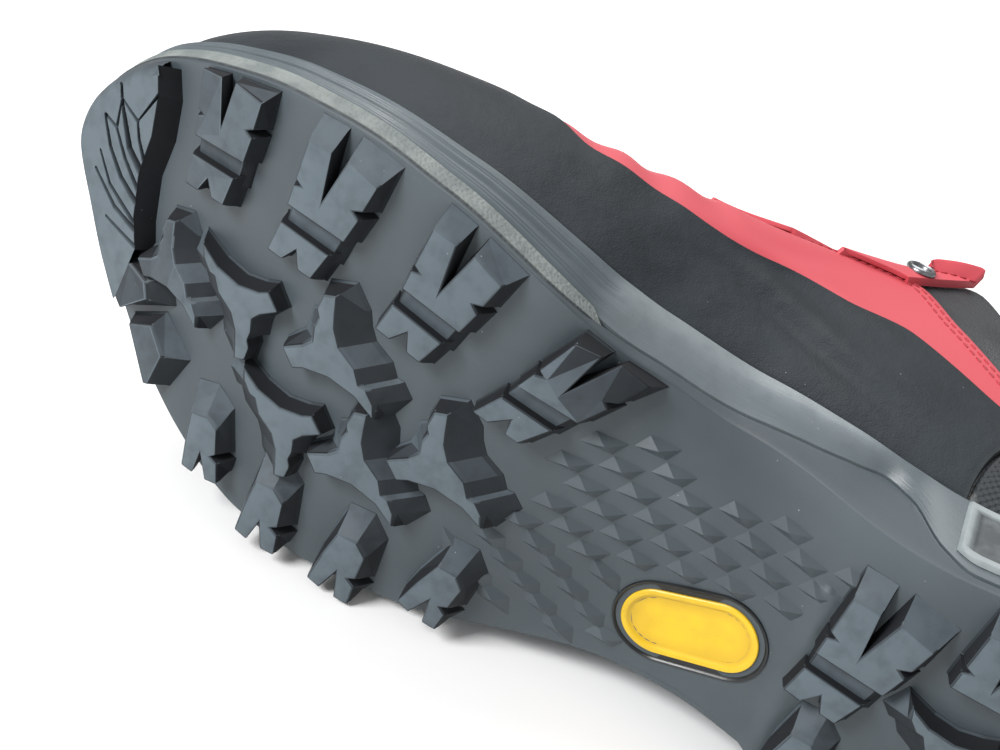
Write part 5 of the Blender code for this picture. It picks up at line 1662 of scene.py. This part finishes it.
    def build_tab(self, node: str, middle: float, long: bool) -> Thing:
        """Makes one tab, whose tail leans out past the edge of the throat.

        Args:
            node: the node that it stands for.
            middle: its middle column on the coarse grid.
            long: whether its tail is a long one.

        Returns:
            The piece.
        """
        form = self.form
        flat, bent = 16, 4
        last = flat + bent - 1
        place = np.linspace(-1, 1, 25)
        beside = np.abs(place)
        stay = float(form.pick(form.stay, np.array([middle]))[0])
        shares = np.concatenate([np.linspace(stay - 0.04, 1, flat), np.ones(bent)])
        tails = np.concatenate([np.zeros(flat), np.linspace(0.25, 1, bent)])
        tails = tails * self.tab_tail * (self.long_tail if long else 1.0)
        rim = np.minimum(1, (1 - beside) / 0.10 + 0.25)
        lift = self.tab_root + (self.gap + self.tab_lift - self.tab_root) * rim
        rows = []
        for row, (share, tail) in enumerate(zip(shares, tails)):
            columns = middle + place * (self.tab_half - 0.25 * row / last)
            points, normals = form.surface(columns, np.repeat([[share], [share - 0.02]], 25, axis=1))
            lean = unit(unit(points[0] - points[1]) + normals[0] * self.tab_lean)
            rounded = 1 - 0.12 * smooth(beside, 0.7, 1.0) * (row == last)
            rows.append(points[0] + normals[0] * lift[:, None] + lean * (tail * rounded)[:, None])
        tone = np.repeat(smooth(beside, 0.86, 1.0)[None], flat + bent, axis=0)
        tone[flat : flat + 2] = 0.6
        thing = form.sheet(f"{node}_dressed", rows, tone=tone)
        wall = thing.modifiers.new("wall", "SOLIDIFY")
        wall.thickness = self.tab_thickness
        wall.offset = -1
        soft = thing.modifiers.new("soft", "BEVEL")
        soft.width = 0.0003
        soft.segments = 2
        soft.angle_limit = math.radians(50)
        return SUEDE.dress(thing, node)

    def build_eyelets(self) -> None:
        """Makes the metal rings on the top tabs, with a dark hole in each."""
        form = self.form
        profile = np.array(
            [
                (0.0040, 0.0021), (0.0040, 0.0026), (0.0037, 0.0031), (0.0032, 0.0033),
                (0.0027, 0.0031), (0.0024, 0.0026), (0.0023, 0.0012), (0.0023, 0.0004),
                (0.0001, 0.0004),
            ]
        )
        around = np.linspace(0, 2 * math.pi, 48, endpoint=False)[:, None]
        for side, column in (("medial", LACE_LEVELS[0]), ("lateral", RING - LACE_LEVELS[0])):
            stay = float(form.pick(form.stay, np.array([column]))[0])
            points, normals = form.surface(np.array([column]), np.array([[(1 + stay) / 2]]))
            centre = points[0, 0]
            normal = normals[0, 0]
            right = unit(np.cross(normal, [0, 0, 1]))
            up = np.cross(normal, right)
            spoke = right * np.cos(around) + up * np.sin(around)
            rows = [centre + spoke * radius + normal * height for radius, height in profile]
            ring = form.sheet(f"eyelet_{side}_dressed", rows, closed=True)
            METAL.dress(ring, f"eyelet_{side}")


@dataclass
class Inside:
    """Insole, padded tongue and lace."""

    form: ShoeForm
    wall: float = 0.002
    gap: float = 0.0004
    tongue_thick: float = 0.0045
    crown: float = 0.005
    crown_columns: int = 6
    past_eyelets: float = 0.030
    lift: float = 0.006
    lace_width: float = 0.0052
    lace_thick: float = 0.0022
    swing: float = 0.93
    strand_lift: float = 0.0026
    strand_arch: float = 0.0028
    crossing_lift: float = 0.0013
    last_lift: float = 0.0022

    def build(self) -> None:
        """Makes the pieces inside the upper."""
        self.build_insole()
        self.build_tongue()
        self.build_lace()

    def build_insole(self) -> Thing:
        """Returns the foot bed, a little cupped along its edge."""
        form = self.form
        inset = form.feather_inset + self.wall + 2 * self.gap
        grid = form.spanned(form.around(form.flare_out - inset, form.bed), 33, 2)
        cupped = 0.0033 + 0.002 * np.abs(np.linspace(-1, 1, 33)) ** 4
        grid[..., 2] = form.bed_height(grid[..., 0]) + cupped
        insole = form.sheet("insole_dressed", grid)
        return INSOLE_CLOTH.dress(merged(insole), "insole")

    def over(self, level: float, across: Array, lift: float) -> Array:
        """Points over the tongue.

        Args:
            level: column of the medial edge.
            across: from -1 at the lateral edge to 1 at the medial one.
            lift: height over the tongue's face.

        Returns:
            One point for each value of across.
        """
        medial, lateral, up = self.form.throat(level, self.wall + self.gap)
        across = np.asarray(across, float)[:, None]
        base = lateral + (medial - lateral) * (across + 1) / 2
        crown = self.crown * min(1, (HALF_RING - level) / self.crown_columns)
        return base + up * (crown * (1 - np.clip(across, -1, 1) ** 2) ** 2 + lift)

    def build_tongue(self) -> Thing:
        """Returns the knitted tongue, which stands up past the top eyelets."""
        form = self.form
        across = np.linspace(1, -1, 41)
        rows = []
        for level in np.linspace(31.4, LACE_LEVELS[0], 56):
            wing = []
            for column in (level, RING - level):
                shares = np.linspace(0.84, 0.97, 5)[:, None]
                points, normals = form.surface(np.array([column]), shares)
                wing.append((points - normals * (self.wall + 0.0007))[:, 0])
            span = self.over(level, across, 0.0)
            rows.append(np.vstack([wing[0], span[1:-1], wing[1][::-1]]))
        last = rows[-1]
        run = unit((rows[-1] - rows[-4]).mean(axis=0))
        middle = last.mean(axis=0)
        for share in np.linspace(0.04, 1, 26):
            shift = run * self.past_eyelets * share + np.array([0, 0, self.lift]) * share**2
            easing = smooth(share, 0, 0.3)
            squeeze = (1, 1 - (0.28 + 0.04 * share) * easing, 1 - 0.25 * share)
            rows.append(middle + (last - middle) * squeeze + shift)
        grid = np.array(rows)
        along = np.gradient(grid, axis=0)
        side = np.gradient(grid, axis=1)
        normal = unit(np.cross(side, along))
        up = np.array([0.3, 0, 1.0])
        normal = normal * np.sign((normal @ up).mean())
        row = np.arange(len(grid))
        end = smooth(row, len(grid) - 3.2, len(grid) - 0.5)[:, None]
        rim = smooth(np.abs(np.linspace(-1, 1, grid.shape[1])), 0.9, 1.0)[None]
        thin = np.clip(1 - np.maximum(end, rim * (row > 56)[:, None]), 0.15, 1)
        half = self.tongue_thick / 2
        turned = np.clip((row - len(grid) + 8) / 7.3, 0, 1)
        narrow = (0.62 + 0.38 * np.sqrt(1 - turned**2))[:, None]
        centre = grid[:, 20:21, 1]
        sheets = []
        for depth in (thin - 1, -(thin + 1)):
            sheet = grid + normal * (half * depth)[..., None]
            sheet[..., 1] = centre + (sheet[..., 1] - centre) * narrow
            sheets.append(sheet)
        flip = bool(np.dot(np.cross(side[40, 20], along[40, 20]), up) < 0)
        tone = np.zeros(grid.shape[:2])
        tone[-3:] = 0.5
        top, under = sheets
        border = np.array([self.border(top), self.border(under)])
        toned = np.full(border.shape[:2], 0.5)
        faces = [
            form.sheet("tongue_face", top, flip=not flip, tone=tone),
            form.sheet("tongue_back", under, flip=flip, tone=tone),
            form.sheet("tongue_edge", border, closed=True, flip=flip, tone=toned),
        ]
        tongue = merged(joined("tongue_dressed", faces))
        return KNIT.dress(tongue, "tongue")

    def border(self, grid: Array) -> Array:
        """Returns the border of a grid as one ring."""
        return np.vstack([grid[0], grid[1:, -1], grid[-1, -2::-1], grid[-2:0:-1, 0]])

    def build_lace(self) -> Thing:
        """Returns the crossed lace, from the top eyelets down through the tabs."""
        strands = []
        spans = len(LACE_LEVELS) - 1
        for sign in (1, -1):
            points = []
            levels = []
            for s in np.linspace(0, spans, spans * 26 + 1):
                swing = sign * self.swing * math.cos(math.pi * s)
                inner = 1 - swing**2
                crossing = self.crossing_lift * sign * math.cos(math.pi * (s - 0.5)) * inner
                lift = self.strand_lift + self.strand_arch * inner + crossing
                levels.append(float(np.interp(s, range(spans + 1), LACE_LEVELS)))
                points.append(self.over(levels[-1], np.array([swing]), lift)[0])
            if sign > 0:
                for share in np.linspace(0.88, -self.swing, 22):
                    levels.append(LACE_LEVELS[-1] + 0.75 * (1 - (share / self.swing) ** 2))
                    points.append(self.over(levels[-1], np.array([share]), self.last_lift)[0])
            ups = np.array([self.form.throat(level, 0.0)[2] for level in levels])
            strands.append(self.cord(f"lace_strand_{sign}", np.array(points), ups))
        return LACE_CORD.dress(joined("lace_dressed", strands), "lace")

    def cord(self, name: str, path: Array, ups: Array) -> Thing:
        """A flat oval cord along a path.

        Args:
            name: name of the object.
            path: its middle line.
            ups: the way its flat face looks at each point.

        Returns:
            The object.
        """
        run = unit(np.gradient(path, axis=0))
        side = unit(np.cross(run, ups))
        up = np.cross(side, run)
        angle = np.linspace(0, 2 * math.pi, 16, endpoint=False)
        wide = side[:, None] * (np.cos(angle) * self.lace_width / 2)[None, :, None]
        tall = up[:, None] * (np.sin(angle) * self.lace_thick / 2)[None, :, None]
        grid = path[:, None] + wide + tall
        caps = [np.repeat(path[k][None, None], 16, axis=1) for k in (0, -1)]
        grid = np.concatenate([caps[0], grid, caps[1]])
        return merged(self.form.sheet(name, grid, closed=True, flip=True))


@dataclass
class Stitching:
    """Rows of thread on the suede."""

    form: ShoeForm
    pitch: float = 0.0027
    length: float = 0.0021
    thickness: float = 0.0006
    rows_below: tuple[float, ...] = (0.0024, 0.0046)
    body_lift: float = 0.0005
    tab_lift: float = 0.0024
    tab_share: float = 0.985

    def build(self) -> Thing:
        """Returns all stitches as one piece."""
        form = self.form
        paths = []
        columns = np.arange(0, RING + 0.01, 0.1)
        for below in self.rows_below:
            shares = (form.pick(form.stay, columns) - below / form.tall(columns))[None]
            paths.append((columns, shares, self.body_lift))
        for level in LACE_LEVELS:
            for middle in (level, RING - level):
                across = middle + np.linspace(-0.86, 0.86, 12)
                paths.append((across, np.full((1, 12), self.tab_share), self.tab_lift))
        places = []
        edges = []
        for across, shares, lift in paths:
            start = len(places)
            points, normals = form.surface(across, shares)
            places.extend(form.lay(points[0] + normals[0] * lift))
            edges.extend((k, k + 1) for k in range(start, len(places) - 1))
        thing = mesh_object("stitches", places, [], edges)
        sizes = {"Pitch": self.pitch, "Length": self.length, "Thickness": self.thickness}
        scatter = Scatter("Stitch rows", sizes)
        graph = scatter.graph
        curve = graph.add("GeometryNodeMeshToCurve", None, Mesh=scatter.given.outputs["Geometry"])
        spaced = graph.add(
            "GeometryNodeResampleCurve", {"mode": "LENGTH"}, Curve=curve.outputs[0],
            Length=scatter.size("Pitch"),
        )
        bead = graph.add("GeometryNodeMeshUVSphere", None, Segments=8, Rings=5, Radius=0.5)
        thick = scatter.size("Thickness")
        shape = graph.add("ShaderNodeCombineXYZ", None, X=scatter.size("Length"), Y=thick, Z=thick)
        tangent = graph.add("GeometryNodeInputTangent")
        aim = graph.add("FunctionNodeAlignRotationToVector", {"axis": "X"}, Vector=tangent.outputs[0])
        scatter.finish(
            THREAD.material(), Points=spaced.outputs[0], Instance=bead.outputs["Mesh"],
            Rotation=aim.outputs[0], Scale=shape.outputs[0],
        )
        return THREAD.dress(scatter.run(thing))


@dataclass
class Studio:
    """Floor, lights and the camera of the photograph."""

    form: ShoeForm
    eye: tuple[float, float, float] = (0.13575, 0.184765, -0.251958)
    right: tuple[float, float, float] = (-0.86231477, 0.35661449, 0.35949875)
    down: tuple[float, float, float] = (-0.49058819, -0.76423535, -0.41864968)
    forward: tuple[float, float, float] = (0.12544511, -0.53737364, 0.83396229)
    focal_pixels: float = 1488.28
    picture_width: float = 1000.0
    sensor: float = 36.0
    daylight: float = 0.42

    def build(self) -> None:
        """Makes the floor, the lights, the world and the camera."""
        self.build_floor()
        self.build_camera()
        self.light("key", (-0.78, -0.80, 0.95), 0.5, 24.0)
        self.light("fill", (1.0, -0.9, 0.7), 1.2, 1.5)
        self.light("top", (-0.2, 0.7, 1.2), 1.0, 15.0)
        world = bpy.data.worlds.new("studio")
        world.use_nodes = True
        back = world.node_tree.nodes["Background"]
        back.inputs["Color"].default_value = (1.0, 1.0, 1.0, 1)
        back.inputs["Strength"].default_value = self.daylight
        bpy.context.scene.world = world
        bpy.context.scene.view_settings.view_transform = "Standard"

    def build_floor(self) -> Thing:
        """Returns the plain pale floor."""
        points = [(-4, -4, 0), (4, -4, 0), (4, 4, 0), (-4, 4, 0)]
        floor = mesh_object("floor", np.array(points, float), [[0, 1, 2, 3]])
        material = bpy.data.materials.new("pale floor")
        material.use_nodes = True
        shader = material.node_tree.nodes["Principled BSDF"]
        shader.inputs["Base Color"].default_value = (0.88, 0.88, 0.88, 1)
        shader.inputs["Roughness"].default_value = 0.9
        floor.data.materials.append(material)
        return floor

    def build_camera(self) -> Thing:
        """Returns the camera at the photograph's place."""
        data = bpy.data.cameras.new("camera")
        data.sensor_width = self.sensor
        data.lens = self.focal_pixels / self.picture_width * self.sensor
        data.clip_start = 0.01
        camera = linked("camera", data)
        axes = np.array([self.right, self.down, self.forward]).T * (1, -1, -1)
        camera.matrix_world = self.form.to_world @ matrix_of(axes, self.eye)
        bpy.context.scene.camera = camera
        return camera

    def light(self, name: str, place: tuple, size: float, power: float) -> Thing:
        """Adds a soft light that looks at the shoe.

        Args:
            name: its name.
            place: where it hangs.
            size: its width.
            power: its power in watts.

        Returns:
            The light.
        """
        data = bpy.data.lights.new(name, "AREA")
        data.size = size
        data.energy = power
        light = linked(name, data)
        light.location = place
        aim = Vector((0, 0, 0.05)) - Vector(place)
        light.rotation_euler = aim.to_track_quat("-Z", "Y").to_euler()
        return light


def placement(record: dict) -> Matrix:
    """Works out how the shoe lies, from the two flat spots of the tread.

    Args:
        record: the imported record.

    Returns:
        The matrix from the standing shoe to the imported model.
    """
    mounts = {mount["name"]: mount for mount in record["mounts"]}
    heel, fore = (np.array(mounts[name]["pos_m"]) for name in ("heel_tread", "forefoot_tread"))
    up = -unit(np.array(mounts["heel_tread"]["axis"]))
    near = np.array(HEEL_SPOT)
    run = np.array(FOREFOOT_SPOT) - near
    along = fore - heel
    along = unit(along - up * (along @ up))
    beside = np.cross(up, along)
    angle = math.atan2(run[1], run[0])
    x_axis = along * math.cos(angle) - beside * math.sin(angle)
    turn = np.column_stack([x_axis, np.cross(up, x_axis), up])
    return matrix_of(turn, heel - turn @ np.array([*near, 0]))


def main() -> None:
    """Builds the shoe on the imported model."""
    logging.basicConfig(level=logging.INFO, format="%(message)s")
    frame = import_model()
    form = ShoeForm(to_world=placement(frame["record"]))
    for section in (Studio, Outsole, Inlay, Midsole, Upper, Inside, Stitching):
        section(form).build()


if __name__ == "__main__":
    main()
